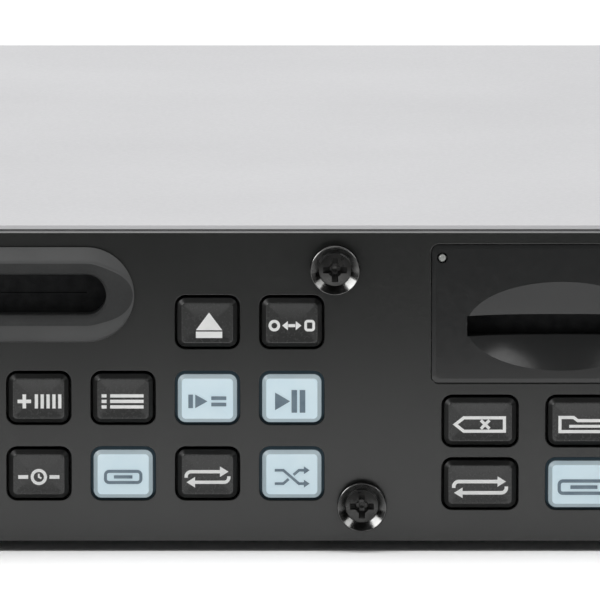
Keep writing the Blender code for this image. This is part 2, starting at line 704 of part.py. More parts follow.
def tray_wall_openings():
    # Every opening in the tray's front wall, behind what the panel carries
    places = [disc_key_place(*cell) for cell in DISC_KEYS.values()]
    lower = [place for place, cell in zip(places, DISC_KEYS.values()) if cell[1] < 2]
    upper = [place for place, cell in zip(places, DISC_KEYS.values()) if cell[1] > 0 and cell[0] > 2]
    room = FIT + BOARD_MARGIN / 2
    fields = [key_field(lower, DISC_KEY_SIZE, room), key_field(upper, DISC_KEY_SIZE, FIT)]
    card_places = [card_key_place(*cell) for cell in CARD_KEYS.values()]
    fields.append(key_field(card_places, CARD_KEY_SIZE, room))
    for x, z, width, height in WINDOWS.values():
        fields.append(window_edges(x, z, width, height, DISPLAY_BOARD_MARGIN + OVERRUN / 2, LENS_LIP + FIT))
    plate = window_edges(CARD_SLOT_X, CARD_PLATE_Z, CARD_PLATE_WIDTH, CARD_PLATE_HEIGHT, CARD_EAR + FIT, 0)
    fields.append((plate[0], plate[1], plate[2], plate[3] - CARD_BODY_STEP + FIT))
    outlines = [rectangle(*field) for field in fields]
    neck = BEZEL_NECK_WALL + 2 * FIT
    outlines.append(stadium(DISC_SLOT_WIDTH + 2 * neck, DISC_SLOT_HEIGHT + 2 * neck, DISC_SLOT_X, DISC_Z))
    for x, z in PANEL_SCREWS.values():
        outlines.append(circle(SCREW_SHANK_RADIUS + FIT, x, z))
    outlines.append(circle(KNOB_STEM_RADIUS + FIT + CONTROL_BUSH_WALL + FIT, KNOB_X, PANEL_MIDDLE))
    outlines.append(circle(BUTTON_RADIUS + FIT, BUTTON_X, PANEL_MIDDLE))
    return outlines


def floor_posts():
    # Where a post stands on the tray's floor, and how high its top is
    posts = []
    for x in (DRIVE_LEFT + DRIVE_POST_INSET_X, DRIVE_RIGHT - DRIVE_POST_INSET_X):
        for y in (DRIVE_START + DRIVE_POST_INSET_Y, DRIVE_END - DRIVE_POST_INSET_Y):
            posts.append((x, y, DECK_BOTTOM - FIT))
    main = (MAIN_BOARD_X, MAIN_BOARD_Y, MAIN_BOARD_WIDTH, MAIN_BOARD_LENGTH)
    power = (POWER_BOARD_X, POWER_BOARD_Y, POWER_BOARD_WIDTH, POWER_BOARD_LENGTH)
    for x, y, width, length in (main, power):
        for post_x in (x + POST_INSET, x + width - POST_INSET):
            for post_y in (y + POST_INSET, y + length - POST_INSET):
                posts.append((post_x, post_y, BOARD_BOTTOM - FIT))
    for side in (-1, 1):
        x = CARD_SLOT_X + side * (SOCKET_HALF - SOCKET_WALL)
        posts.append((x, SOCKET_FRONT + SOCKET_DEPTH - SOCKET_POST_BACK, SOCKET_BOARD_BOTTOM - FIT))
    return posts


FEET = {
    "foot_front_left": (-BODY_WIDTH / 2 + FOOT_INSET_X, BODY_FRONT + FOOT_INSET_Y),
    "foot_front_right": (BODY_WIDTH / 2 - FOOT_INSET_X, BODY_FRONT + FOOT_INSET_Y),
    "foot_rear_left": (-BODY_WIDTH / 2 + FOOT_INSET_X, BODY_BACK - FOOT_INSET_Y),
    "foot_rear_right": (BODY_WIDTH / 2 - FOOT_INSET_X, BODY_BACK - FOOT_INSET_Y),
}


def chassis_tray():
    outer = (-TRAY_HALF, BODY_FRONT, TRAY_BOTTOM), (TRAY_HALF, BODY_BACK, TRAY_TOP)
    tray = block("chassis_tray", *outer, finish=ZINC_SHEET)
    inside = TRAY_HALF - TRAY_SHEET
    room = block("tray_room", (-inside, WALL_BACK, TRAY_FLOOR), (inside, REAR_WALL, TRAY_TOP - TRAY_SHEET))
    beyond = TRAY_HALF + OVERRUN
    open_low = (-beyond, BODY_FRONT + TRAY_FLANGE, TRAY_FLOOR + TRAY_LIP)
    open_high = (beyond, BODY_BACK - TRAY_FLANGE, TRAY_TOP + OVERRUN)
    top = block("tray_opening", open_low, open_high)
    start = WALL_FRONT - OVERRUN
    end = WALL_BACK + OVERRUN
    holes = [
        prism(f"wall_opening_{i}", outline, start, end, backwards)
        for i, outline in enumerate(tray_wall_openings())
    ]
    inlet_width = INLET_BODY_WIDTH + 2 * FIT
    inlet_height = INLET_BODY_HEIGHT + 2 * FIT
    inlet = rounded(inlet_width, inlet_height, INLET_CORNER, INLET_X, PANEL_LIFT + INLET_Z)
    rear = [inlet]
    for side in (-1, 1):
        rear.append(circle(JACK_RADIUS + FIT, JACK_X + side * JACK_SPREAD, PANEL_LIFT + JACK_Z))
    start = REAR_WALL - OVERRUN
    end = BODY_BACK + OVERRUN
    holes += [prism(f"rear_opening_{i}", outline, start, end, backwards) for i, outline in enumerate(rear)]
    for name, (x, y) in FEET.items():
        outline = circle(FOOT_STEM_RADIUS + FIT, steps=8)
        bottom = TRAY_BOTTOM - OVERRUN
        holes.append(prism(f"{name}_hole", outline, bottom, TRAY_FLOOR + OVERRUN, place=(x, y, 0)))
    cut(tray, room)
    cut(tray, top, *holes)
    posts = [
        prism(f"floor_post_{i}", circle(POST_RADIUS, steps=8), TRAY_FLOOR - POST_SINK, top_z, place=(x, y, 0))
        for i, (x, y, top_z) in enumerate(floor_posts())
    ]
    fuse(tray, *posts)


def top_cover():
    half = BODY_WIDTH / 2
    side_bottom = TRAY_BOTTOM + FIT
    cover = block("top_cover", (-half, BODY_FRONT, side_bottom), (half, BODY_BACK, COVER_TOP), COVER_PAINT)
    inside = half - COVER_SHEET
    low = (-inside, BODY_FRONT - OVERRUN, side_bottom - OVERRUN)
    high = (inside, BODY_BACK + OVERRUN, COVER_TOP - COVER_SHEET)
    cut(cover, block("cover_room", low, high))


def feet():
    for name, (x, y) in FEET.items():
        layers = (
            (circle(FOOT_RADIUS - FOOT_EDGE), 0),
            (circle(FOOT_RADIUS), FOOT_EDGE),
            (circle(FOOT_RADIUS), FOOT_HEIGHT),
            (circle(FOOT_STEM_RADIUS), FOOT_HEIGHT),
            (circle(FOOT_STEM_RADIUS), FOOT_HEIGHT + FOOT_STEM_LENGTH),
        )
        stack(name, layers, place=(x, y, 0), finish=RUBBER, smooth=True)


def disc_slot_bezel():
    # Its rim rises from the panel in a half-round bead, and a neck runs back through the panel
    def ring(grow, depth):
        return stadium(DISC_SLOT_WIDTH + 2 * grow, DISC_SLOT_HEIGHT + 2 * grow), depth

    layers = [ring(BEZEL_RIM * out, -FIT - BEZEL_RISE * up) for out, up in BEZEL_RIM_SHARES]
    neck_end = PANEL_THICKNESS + BEZEL_NECK_REACH
    layers += [ring(0, neck_end), ring(BEZEL_NECK_WALL, neck_end), ring(BEZEL_NECK_WALL, -FIT)]
    place = (DISC_SLOT_X, 0, DISC_Z)
    stack("disc_slot_bezel", layers, backwards, place, BLACK_PLASTIC, looped=True, smooth=True)


def card_slot_plate():
    place = (CARD_SLOT_X, 0, CARD_PLATE_Z)
    face = rounded(CARD_PLATE_WIDTH, CARD_PLATE_HEIGHT, CARD_PLATE_CORNER)
    body = rounded(
        CARD_PLATE_WIDTH - 2 * CARD_BODY_STEP, CARD_PLATE_HEIGHT - 2 * CARD_BODY_STEP, CARD_PLATE_CORNER
    )
    layers = ((face, 0), (face, PANEL_THICKNESS), (body, PANEL_THICKNESS), (body, CARD_BODY_DEPTH))
    plate = stack("card_slot_plate", layers, backwards, place, PANEL_PAINT)
    ear = CARD_PLATE_WIDTH / 2 + CARD_EAR
    low = (CARD_SLOT_X - ear, WALL_FRONT, CARD_PLATE_Z - CARD_EAR_HEIGHT / 2)
    high = (CARD_SLOT_X + ear, WALL_FRONT + CARD_EAR_THICKNESS, CARD_PLATE_Z + CARD_EAR_HEIGHT / 2)
    fuse(plate, block("card_plate_ears", low, high))
    lamp_x, lamp_z = card_lamp_place()
    slot = window_edges(0, 0, CARD_SLOT_WIDTH, CARD_SLOT_HEIGHT, 0, 0)
    end = CARD_BODY_DEPTH + OVERRUN
    slot_place = (CARD_SLOT_X, 0, CARD_Z)
    cutters = [
        prism("card_slot", rectangle(*slot), -OVERRUN, end, backwards, slot_place),
        prism("lamp_hole", circle(CARD_LAMP_RADIUS + FIT), -OVERRUN, end, backwards, (lamp_x, 0, lamp_z)),
    ]
    cut(plate, finger_scoop())
    cut(plate, *cutters)


def finger_scoop():
    # A shallow lens-shaped dish round the slot
    shape = bmesh.new()
    bmesh.ops.create_uvsphere(shape, u_segments=SCOOP_AROUND, v_segments=SCOOP_RINGS, radius=1.0)
    quarter_turn = Matrix.Rotation(math.pi / 2, 3, "X")  # lays the poles along Y
    bmesh.ops.rotate(shape, matrix=quarter_turn, verts=shape.verts)
    bmesh.ops.scale(shape, vec=(SCOOP_WIDTH / 2, SCOOP_DEPTH, SCOOP_HEIGHT / 2), verts=shape.verts)
    mesh = bpy.data.meshes.new("finger_scoop")
    shape.to_mesh(mesh)
    shape.free()
    return show("finger_scoop", mesh, (CARD_SLOT_X, 0, CARD_Z), None)


def card_lamp_place():
    x = CARD_SLOT_X - CARD_PLATE_WIDTH / 2 + CARD_LAMP_INSET_X
    z = CARD_PLATE_Z + CARD_PLATE_HEIGHT / 2 - CARD_LAMP_INSET_Z
    return x, z


def card_lamp():
    x, z = card_lamp_place()
    outline = circle(CARD_LAMP_RADIUS, steps=12)
    end = CARD_LAMP_LENGTH - CARD_LAMP_RISE
    prism("card_lamp", outline, -CARD_LAMP_RISE, end, backwards, (x, 0, z), LAMP_CLEAR, True)


def card_socket():
    # A tin shell on its own small board
    top = CARD_Z + CARD_SLOT_HEIGHT / 2 + SOCKET_WALL
    back = SOCKET_FRONT + SOCKET_DEPTH
    low = (CARD_SLOT_X - SOCKET_HALF, SOCKET_FRONT, SOCKET_BOTTOM)
    high = (CARD_SLOT_X + SOCKET_HALF, back, top)
    socket = block("card_socket", low, high, STEEL)
    margin = SOCKET_HALF + SOCKET_BOARD_MARGIN
    front = SOCKET_FRONT + SOCKET_BOARD_MARGIN
    board_low = (CARD_SLOT_X - margin, front, SOCKET_BOARD_BOTTOM)
    board_high = (CARD_SLOT_X + margin, back + SOCKET_BOARD_MARGIN, SOCKET_BOARD_BOTTOM + BOARD_THICKNESS)
    fuse(socket, block("socket_board", board_low, board_high))
    half = CARD_SLOT_WIDTH / 2
    mouth_low = (CARD_SLOT_X - half, SOCKET_FRONT - OVERRUN, CARD_Z - CARD_SLOT_HEIGHT / 2)
    mouth_high = (CARD_SLOT_X + half, back - SOCKET_FLOOR, CARD_Z + CARD_SLOT_HEIGHT / 2)
    cut(socket, block("socket_mouth", mouth_low, mouth_high))


def key(name):
    # Cap with a rounded edge, a lip that holds it behind the panel, and a stem into its switch
    x, z = KEY_PLACES[name]
    width, height = key_size(name)
    lip = 2 * (KEY_GAP + KEY_LIP)
    face = rounded(width - 2 * KEY_EDGE, height - 2 * KEY_EDGE, KEY_CORNER - KEY_EDGE)
    slope_in = 2 * KEY_EDGE * KEY_SLOPE_SHARE
    slope = rounded(width - slope_in, height - slope_in, KEY_CORNER)
    cap = rounded(width, height, KEY_CORNER)
    flange = rounded(width + lip, height + lip, KEY_CORNER)
    stem = rounded(2 * KEY_STEM_RADIUS, 2 * KEY_STEM_RADIUS, KEY_STEM_RADIUS * STEM_ROUNDNESS_SHARE)
    layers = (
        (face, -KEY_RISE),
        (slope, KEY_EDGE * KEY_SLOPE_SHARE - KEY_RISE),
        (cap, KEY_EDGE - KEY_RISE),
        (cap, KEY_FLANGE_FRONT),
        (flange, KEY_FLANGE_FRONT),
        (flange, KEY_FLANGE_BACK),
        (stem, KEY_FLANGE_BACK),
        (stem, KEY_STEM_END),
    )
    finish = LIT_PLASTIC if name in LIT_KEYS else KEY_PLASTIC
    stack(name, layers, backwards, (x, 0, z), finish, smooth=True)


def switches_on(board, names):
    # A switch block in front of the board for each key, with a bore for the key's stem
    blocks = []
    bores = []
    half = SWITCH_SIZE / 2
    for name in names:
        x, z = KEY_PLACES[name]
        low = (x - half, SWITCH_FRONT, z - half)
        high = (x + half, KEY_BOARD_FRONT + BOARD_THICKNESS / 2, z + half)
        blocks.append(block(f"{name}_switch", low, high))
        bore = circle(KEY_STEM_RADIUS + FIT, steps=8)
        end = KEY_BOARD_BACK + OVERRUN
        bores.append(prism(f"{name}_bore", bore, SWITCH_FRONT - OVERRUN, end, backwards, (x, 0, z)))
    fuse(board, *blocks)
    cut(board, *bores)


def disc_key_board():
    places = {cell: disc_key_place(*cell) for cell in DISC_KEYS.values()}
    lower = [place for cell, place in places.items() if cell[1] < 2]
    upper = [place for cell, place in places.items() if cell[1] > 0 and cell[0] > 2]
    low_x, low_z, high_x, high_z = key_field(lower, DISC_KEY_SIZE, FIT)
    step_x, step_z, end_x, top_z = key_field(upper, DISC_KEY_SIZE, FIT)
    outline = [(low_x, low_z), (high_x, low_z), (end_x, top_z), (step_x, top_z)]
    outline += [(step_x, high_z), (low_x, high_z)]
    board = prism("disc_key_board", outline, KEY_BOARD_FRONT, KEY_BOARD_BACK, backwards, finish=BOARD_GREEN)
    switches_on(board, DISC_KEYS)


def card_key_board():
    places = [card_key_place(*cell) for cell in CARD_KEYS.values()]
    outline = rectangle(*key_field(places, CARD_KEY_SIZE, FIT))
    board = prism("card_key_board", outline, KEY_BOARD_FRONT, KEY_BOARD_BACK, backwards, finish=BOARD_GREEN)
    switches_on(board, CARD_KEYS)


def panel_screw(name, x, z):
    head = SCREW_HEAD_HEIGHT
    layers = [(circle(SCREW_HEAD_RADIUS * out), -FIT - head * up) for out, up in SCREW_DOME_SHARES]
    layers += [(circle(SCREW_SHANK_RADIUS), -FIT), (circle(SCREW_SHANK_RADIUS), SCREW_LENGTH)]
    screw = stack(name, layers, backwards, (x, 0, z), CHROME, smooth=True)
    start = -FIT - head - OVERRUN
    end = SCREW_CROSS_DEPTH - FIT - head
    half_long = SCREW_CROSS_LENGTH / 2
    half_wide = SCREW_CROSS_WIDTH / 2
    arms = ((half_long, half_wide), (half_wide, half_long))
    cross = [
        prism(f"{name}_cross_{i}", rectangle(-u, -v, u, v), start, end, backwards, (x, 0, z))
        for i, (u, v) in enumerate(arms)
    ]
    cut(screw, *cross)


def display_lens(name, x, z, width, height):
    pane = rounded(width - 2 * FIT, height - 2 * FIT, WINDOW_CORNER)
    lip = rounded(width + 2 * LENS_LIP, height + 2 * LENS_LIP, WINDOW_CORNER)
    lip_back = LENS_LIP_FRONT + LENS_LIP_THICKNESS
    layers = ((pane, LENS_RECESS), (pane, LENS_LIP_FRONT), (lip, LENS_LIP_FRONT), (lip, lip_back))
    stack(name, layers, backwards, (x, 0, z), LENS_SMOKE)


def display_module(name, x, z, width, height):
    glass = rounded(width + 2 * GLASS_MARGIN, height + 2 * GLASS_MARGIN, WINDOW_CORNER)
    module = prism(name, glass, GLASS_FRONT, GLASS_BACK, backwards, (x, 0, z), DISPLAY_GLASS)
    edges = window_edges(x, z, width, height, DISPLAY_BOARD_MARGIN, GLASS_MARGIN / 2)
    start = GLASS_BACK - BOARD_THICKNESS / 2
    board = prism(f"{name}_board", rectangle(*edges), start, start + BOARD_THICKNESS, backwards)
    fuse(module, board)


def level_knob():
    rings = [(circle(KNOB_RADIUS * out, steps=24), -KNOB_GAP - KNOB_LENGTH * up) for out, up in KNOB_SHARES]
    stem_end = WALL_BACK + KNOB_STEM_REACH
    rings += [(circle(KNOB_STEM_RADIUS, steps=24), -KNOB_GAP), (circle(KNOB_STEM_RADIUS, steps=24), stem_end)]
    stack("level_knob", rings, backwards, (KNOB_X, 0, PANEL_MIDDLE), BLACK_PLASTIC, smooth=True)


def level_control():
    front = WALL_BACK + FIT
    back = WALL_BACK + KNOB_STEM_REACH + CONTROL_END_GAP + CONTROL_BUSH_WALL
    half = CONTROL_SIZE / 2
    low = (KNOB_X - half, front, PANEL_MIDDLE - half)
    high = (KNOB_X + half, back, PANEL_MIDDLE + half)
    control = block("level_control", low, high, STEEL)
    bush = circle(KNOB_STEM_RADIUS + FIT + CONTROL_BUSH_WALL)
    bore = circle(KNOB_STEM_RADIUS + FIT)
    place = (KNOB_X, 0, PANEL_MIDDLE)
    fuse(control, prism("control_bush", bush, FIT, front + CONTROL_BUSH_WALL, backwards, place))
    bore_end = WALL_BACK + KNOB_STEM_REACH + CONTROL_END_GAP
    cut(control, prism("control_bore", bore, FIT - OVERRUN, bore_end, backwards, place))


def power_button():
    cap_back = WALL_BACK + BUTTON_CAP_REACH
    layers = (
        (circle(BUTTON_RADIUS - BUTTON_EDGE), -BUTTON_RISE),
        (circle(BUTTON_RADIUS), BUTTON_EDGE - BUTTON_RISE),
        (circle(BUTTON_RADIUS), cap_back),
        (circle(BUTTON_STEM_RADIUS), cap_back),
        (circle(BUTTON_STEM_RADIUS), cap_back + BUTTON_STEM_LENGTH),
    )
    stack("power_button", layers, backwards, (BUTTON_X, 0, PANEL_MIDDLE), BLACK_PLASTIC, smooth=True)


def power_switch():
    front = WALL_BACK + FIT
    half = POWER_SWITCH_SIZE / 2
    low = (BUTTON_X - half, front, PANEL_MIDDLE - half)
    high = (BUTTON_X + half, front + POWER_SWITCH_DEPTH, PANEL_MIDDLE + half)
    switch = block("power_switch", low, high, BLACK_PLASTIC)
    place = (BUTTON_X, 0, PANEL_MIDDLE)
    cup_end = WALL_BACK + BUTTON_CAP_REACH + BUTTON_TRAVEL + FIT
    bore_end = cup_end + BUTTON_STEM_LENGTH + POWER_SWITCH_SPARE
    cup = prism("button_cup", circle(BUTTON_RADIUS + FIT), front - OVERRUN, cup_end, backwards, place)
    bore = prism("button_bore", circle(BUTTON_STEM_RADIUS + FIT), front, bore_end, backwards, place)
    cut(switch, cup, bore)


def drive_frame():
    # A folded tray that carries the rollers, the spindle and the sled's rails
    low = (DRIVE_LEFT, DRIVE_START, DECK_BOTTOM)
    high = (DRIVE_RIGHT, DRIVE_END, DRIVE_TOP)
    frame = block("drive_frame", low, high, ZINC_SHEET)
    room_low = (DRIVE_LEFT + DRIVE_SHEET, DRIVE_START - OVERRUN, DECK_TOP)
    room_high = (DRIVE_RIGHT - DRIVE_SHEET, DRIVE_END - DRIVE_SHEET, DRIVE_TOP + OVERRUN)
    cut(frame, block("drive_room", room_low, room_high))
    blocks = []
    for side in (-1, 1):
        x = DISC_SLOT_X + side * RAIL_OFFSET
        block_low = (x - RAIL_BLOCK / 2, RAIL_BLOCK_Y, DECK_BOTTOM + DRIVE_SHEET / 2)
        block_high = (x + RAIL_BLOCK / 2, RAIL_BLOCK_Y + RAIL_BLOCK_DEPTH, RAIL_Z + RAIL_BLOCK / 2)
        blocks.append(block(f"rail_block_{side}", block_low, block_high))
    fuse(frame, *blocks)
    cutters = []
    for side in (-1, 1):
        place = (DISC_SLOT_X + side * RAIL_OFFSET, 0, RAIL_Z)
        bore = circle(RAIL_RADIUS + FIT, steps=12)
        start = RAIL_BLOCK_Y - OVERRUN
        cutters.append(prism(f"rail_bore_{side}", bore, start, DRIVE_END + OVERRUN, backwards, place))
    shaft = circle(ROLLER_SHAFT_RADIUS + FIT, steps=12)
    start = DRIVE_LEFT - OVERRUN
    end = DRIVE_RIGHT + OVERRUN
    cutters.append(prism("roller_bore", shaft, start, end, rightwards, (0, ROLLER_Y, ROLLER_Z)))
    cut(frame, *cutters)


def clamp_plate():
    low = (DRIVE_LEFT, DRIVE_START, CLAMP_BOTTOM)
    high = (DRIVE_RIGHT, DRIVE_END, CLAMP_TOP)
    plate = block("clamp_plate", low, high, ZINC_SHEET)
    hole = circle(CLAMP_HOLE_RADIUS, steps=24)
    place = (DISC_SLOT_X, SPINDLE_Y, 0)
    cut(plate, prism("clamp_hole", hole, CLAMP_BOTTOM - OVERRUN, CLAMP_TOP + OVERRUN, place=place))


def disc_clamper():
    # A puck that hangs in the clamp plate by its lip
    puck = circle(CLAMP_HOLE_RADIUS - FIT, steps=24)
    lip = circle(CLAMP_HOLE_RADIUS + CLAMPER_LIP, steps=24)
    lip_bottom = CLAMP_TOP + FIT
    layers = (
        (puck, CLAMP_BOTTOM - CLAMPER_DROP),
        (puck, lip_bottom),
        (lip, lip_bottom),
        (lip, lip_bottom + CLAMPER_CAP),
    )
    stack("disc_clamper", layers, place=(DISC_SLOT_X, SPINDLE_Y, 0), finish=BLACK_PLASTIC, smooth=True)


def spindle_motor():
    place = (DISC_SLOT_X, SPINDLE_Y, 0)
    can = circle(MOTOR_RADIUS, steps=24)
    motor = prism("spindle_motor", can, MOTOR_BOTTOM, MOTOR_TOP, upwards, place, STEEL, True)
    bore = circle(SPINDLE_RADIUS + FIT, steps=12)
    depth = MOTOR_TOP - SPINDLE_LENGTH - FIT
    cut(motor, prism("spindle_bore", bore, depth, MOTOR_TOP + OVERRUN, place=place))


def turntable():
    plate = circle(TURNTABLE_RADIUS, steps=24)
    hub = circle(TURNTABLE_HUB_RADIUS, steps=24)
    hub_tip = circle(TURNTABLE_HUB_RADIUS * HUB_TIP_SHARE, steps=24)
    neck = circle(TURNTABLE_NECK_RADIUS, steps=24)
    spindle = circle(SPINDLE_RADIUS, steps=24)
    neck_bottom = MOTOR_TOP + FIT
    layers = (
        (spindle, MOTOR_TOP - SPINDLE_LENGTH),
        (spindle, neck_bottom),
        (neck, neck_bottom),
        (neck, TURNTABLE_TOP - TURNTABLE_SHEET),
        (plate, TURNTABLE_TOP - TURNTABLE_SHEET),
        (plate, TURNTABLE_TOP),
        (hub, TURNTABLE_TOP),
        (hub_tip, HUB_TOP),
    )
    stack("turntable", layers, place=(DISC_SLOT_X, SPINDLE_Y, 0), finish=BLACK_PLASTIC, smooth=True)


def feed_roller():
    # Rubber roller, thinner in the middle so that it touches only a disc's edge
    inside = DRIVE_HALF - DRIVE_SHEET - FIT
    shaft = circle(ROLLER_SHAFT_RADIUS)
    ends = circle(ROLLER_RADIUS)
    waist = circle(ROLLER_RADIUS * ROLLER_WAIST_SHARE)
    left = -DRIVE_HALF + FIT
    right = DRIVE_HALF + FIT + GEARMOTOR_SHAFT_ENTRY
    layers = (
        (shaft, left),
        (shaft, -inside),
        (ends, -inside),
        (waist, 0),
        (ends, inside),
        (shaft, inside),
        (shaft, right),
    )
    stack("feed_roller", layers, rightwards, (DISC_SLOT_X, ROLLER_Y, ROLLER_Z), RUBBER, smooth=True)


def loading_motor():
    start = DRIVE_RIGHT + FIT
    half = GEARMOTOR_SIZE / 2
    low = (start, ROLLER_Y - half, ROLLER_Z - half)
    high = (start + GEARMOTOR_LENGTH, ROLLER_Y + half, ROLLER_Z + half)
    motor = block("loading_motor", low, high, STEEL)
    bore = circle(ROLLER_SHAFT_RADIUS + FIT, steps=12)
    end = start + GEARMOTOR_SHAFT_ENTRY + FIT
    cut(motor, prism("gearmotor_bore", bore, start - OVERRUN, end, rightwards, (0, ROLLER_Y, ROLLER_Z)))


def laser_sled():
    place = (DISC_SLOT_X, SLED_Y, 0)
    half = SLED_WIDTH / 2
    length = SLED_LENGTH / 2
    bottom = RAIL_Z - SLED_HEIGHT / 2
    low = (DISC_SLOT_X - half, SLED_Y - length, bottom)
    high = (DISC_SLOT_X + half, SLED_Y + length, bottom + SLED_HEIGHT)
    sled = block("laser_sled", low, high, BLACK_PLASTIC)
    lens = circle(LASER_LENS_RADIUS)
    top = bottom + SLED_HEIGHT
    fuse(sled, prism("laser_lens", lens, top - LASER_LENS_HEIGHT, top + LASER_LENS_HEIGHT, place=place))
    bores = []
    for side in (-1, 1):
        rail = (DISC_SLOT_X + side * RAIL_OFFSET, SLED_Y, RAIL_Z)
        outline = circle(RAIL_RADIUS + FIT, steps=12)
        reach = length + OVERRUN
        bores.append(prism(f"sled_bore_{side}", outline, -reach, reach, backwards, rail))
    cut(sled, *bores)


def guide_rod():
    start = RAIL_BLOCK_Y - FIT
    end = DRIVE_END + FIT
    place = (DISC_SLOT_X - RAIL_OFFSET, 0, RAIL_Z)
    prism("guide_rod", circle(RAIL_RADIUS, steps=12), start, end, backwards, place, STEEL, True)


def lead_screw():
    # Turns in the frame's bores and carries a small gear behind the rear wall
    rod = circle(RAIL_RADIUS, steps=12)
    gear = circle(SCREW_GEAR_RADIUS, steps=12)
    gear_start = DRIVE_END + FIT
    gear_end = gear_start + SCREW_GEAR_THICKNESS
    layers = ((rod, RAIL_BLOCK_Y - FIT), (rod, gear_start), (gear, gear_start), (gear, gear_end))
    place = (DISC_SLOT_X + RAIL_OFFSET, 0, RAIL_Z)
    stack("lead_screw", layers, backwards, place, STEEL, smooth=True)


def cans_on(name, x, y, width, length, places):
    cans = []
    for i, (across, along) in enumerate(places):
        place = (x + width * across, y + length * along, 0)
        top = BOARD_TOP + CAN_HEIGHT
        outline = circle(CAN_RADIUS, steps=12)
        cans.append(prism(f"{name}_can_{i}", outline, BOARD_TOP - BOARD_THICKNESS / 2, top, place=place))
    return cans


def main_board():
    high = (MAIN_BOARD_X + MAIN_BOARD_WIDTH, MAIN_BOARD_Y + MAIN_BOARD_LENGTH, BOARD_TOP)
    board = block("main_board", (MAIN_BOARD_X, MAIN_BOARD_Y, BOARD_BOTTOM), high, BOARD_GREEN)
    sink = BOARD_TOP - BOARD_THICKNESS / 2
    pieces = cans_on("main", MAIN_BOARD_X, MAIN_BOARD_Y, MAIN_BOARD_WIDTH, MAIN_BOARD_LENGTH, MAIN_CAN_SHARES)
    for i, (across, along) in enumerate(MAIN_CHIP_SHARES):
        x = MAIN_BOARD_X + MAIN_BOARD_WIDTH * across
        y = MAIN_BOARD_Y + MAIN_BOARD_LENGTH * along
        half = CHIP_SIZE / 2
        top = BOARD_TOP + CHIP_HEIGHT
        pieces.append(block(f"main_chip_{i}", (x - half, y - half, sink), (x + half, y + half, top)))
    plug_low = (MAIN_BOARD_X + FIT, RIBBON_START_Y - FIT, sink)
    plug_end = RIBBON_START_Y + RIBBON_WIDTH + FIT
    plug_high = (MAIN_BOARD_X + FIT + PLUG_DEPTH, plug_end, BOARD_TOP + PLUG_HEIGHT)
    pieces.append(block("main_plug", plug_low, plug_high))
    fuse(board, *pieces)


def power_board():
    x, y = POWER_BOARD_X, POWER_BOARD_Y
    width, length = POWER_BOARD_WIDTH, POWER_BOARD_LENGTH
    board = block("power_board", (x, y, BOARD_BOTTOM), (x + width, y + length, BOARD_TOP), BOARD_GREEN)
    sink = BOARD_TOP - BOARD_THICKNESS / 2
    pieces = cans_on("power", x, y, width, length, POWER_CAN_SHARES)
    coil_x = x + width * POWER_COIL_SHARES[0]
    coil_y = y + length * POWER_COIL_SHARES[1]
    half = TRANSFORMER_WIDTH / 2
    coil_high = (coil_x + half, coil_y + half, BOARD_TOP + TRANSFORMER_HEIGHT)
    pieces.append(block("transformer", (coil_x - half, coil_y - half, sink), coil_high))
    fin_x = x + width * POWER_SINK_SHARES[0]
    fin_y = y + length * POWER_SINK_SHARES[1]
    fin_low = (fin_x - HEAT_SINK_WIDTH / 2, fin_y - HEAT_SINK_DEPTH / 2, sink)
    fin_high = (fin_x + HEAT_SINK_WIDTH / 2, fin_y + HEAT_SINK_DEPTH / 2, BOARD_TOP + HEAT_SINK_HEIGHT)
    pieces.append(block("heat_sink", fin_low, fin_high))
    fuse(board, *pieces)


def ribbon_cable():
    start = DRIVE_RIGHT + FIT
    run = MAIN_BOARD_X - start
    fall = RIBBON_HIGH - RIBBON_LOW
    lower = [(start + run * along, RIBBON_LOW + fall * up) for along, up in RIBBON_BEND_SHARES]
    upper = [(x, z + RIBBON_THICKNESS) for x, z in reversed(lower)]
    end = RIBBON_START_Y + RIBBON_WIDTH
    prism("ribbon_cable", lower + upper, RIBBON_START_Y, end, backwards, finish=RIBBON_GREY)


def mains_inlet():
    place = (INLET_X, 0, PANEL_LIFT + INLET_Z)
    body = rounded(INLET_BODY_WIDTH, INLET_BODY_HEIGHT, INLET_CORNER)
    flange = rounded(INLET_FLANGE_WIDTH, INLET_FLANGE_HEIGHT, INLET_CORNER)
    flange_front = BODY_BACK + FIT
    face = flange_front + INLET_FLANGE_THICKNESS
    layers = ((body, INLET_FRONT), (body, flange_front), (flange, flange_front), (flange, face))
    inlet = stack("mains_inlet", layers, backwards, place, BLACK_PLASTIC)
    cavity = rounded(INLET_CAVITY_WIDTH, INLET_CAVITY_HEIGHT, INLET_CORNER)
    floor = face - INLET_CAVITY_DEPTH
    cut(inlet, prism("inlet_cavity", cavity, floor, face + OVERRUN, backwards, place))
    half_x = PIN_WIDTH / 2
    half_z = PIN_HEIGHT / 2
    outlines = [window_edges(side * PIN_SPREAD, -LINE_PINS_DOWN, 0, 0, half_x, half_z) for side in (-1, 1)]
    outlines.append(window_edges(0, EARTH_PIN_UP, 0, 0, half_x, half_z))
    fuse(inlet, *[
        prism(f"inlet_pin_{i}", rectangle(*edges), floor - PIN_SHORT / 2, face - PIN_SHORT, backwards, place)
        for i, edges in enumerate(outlines)
    ])


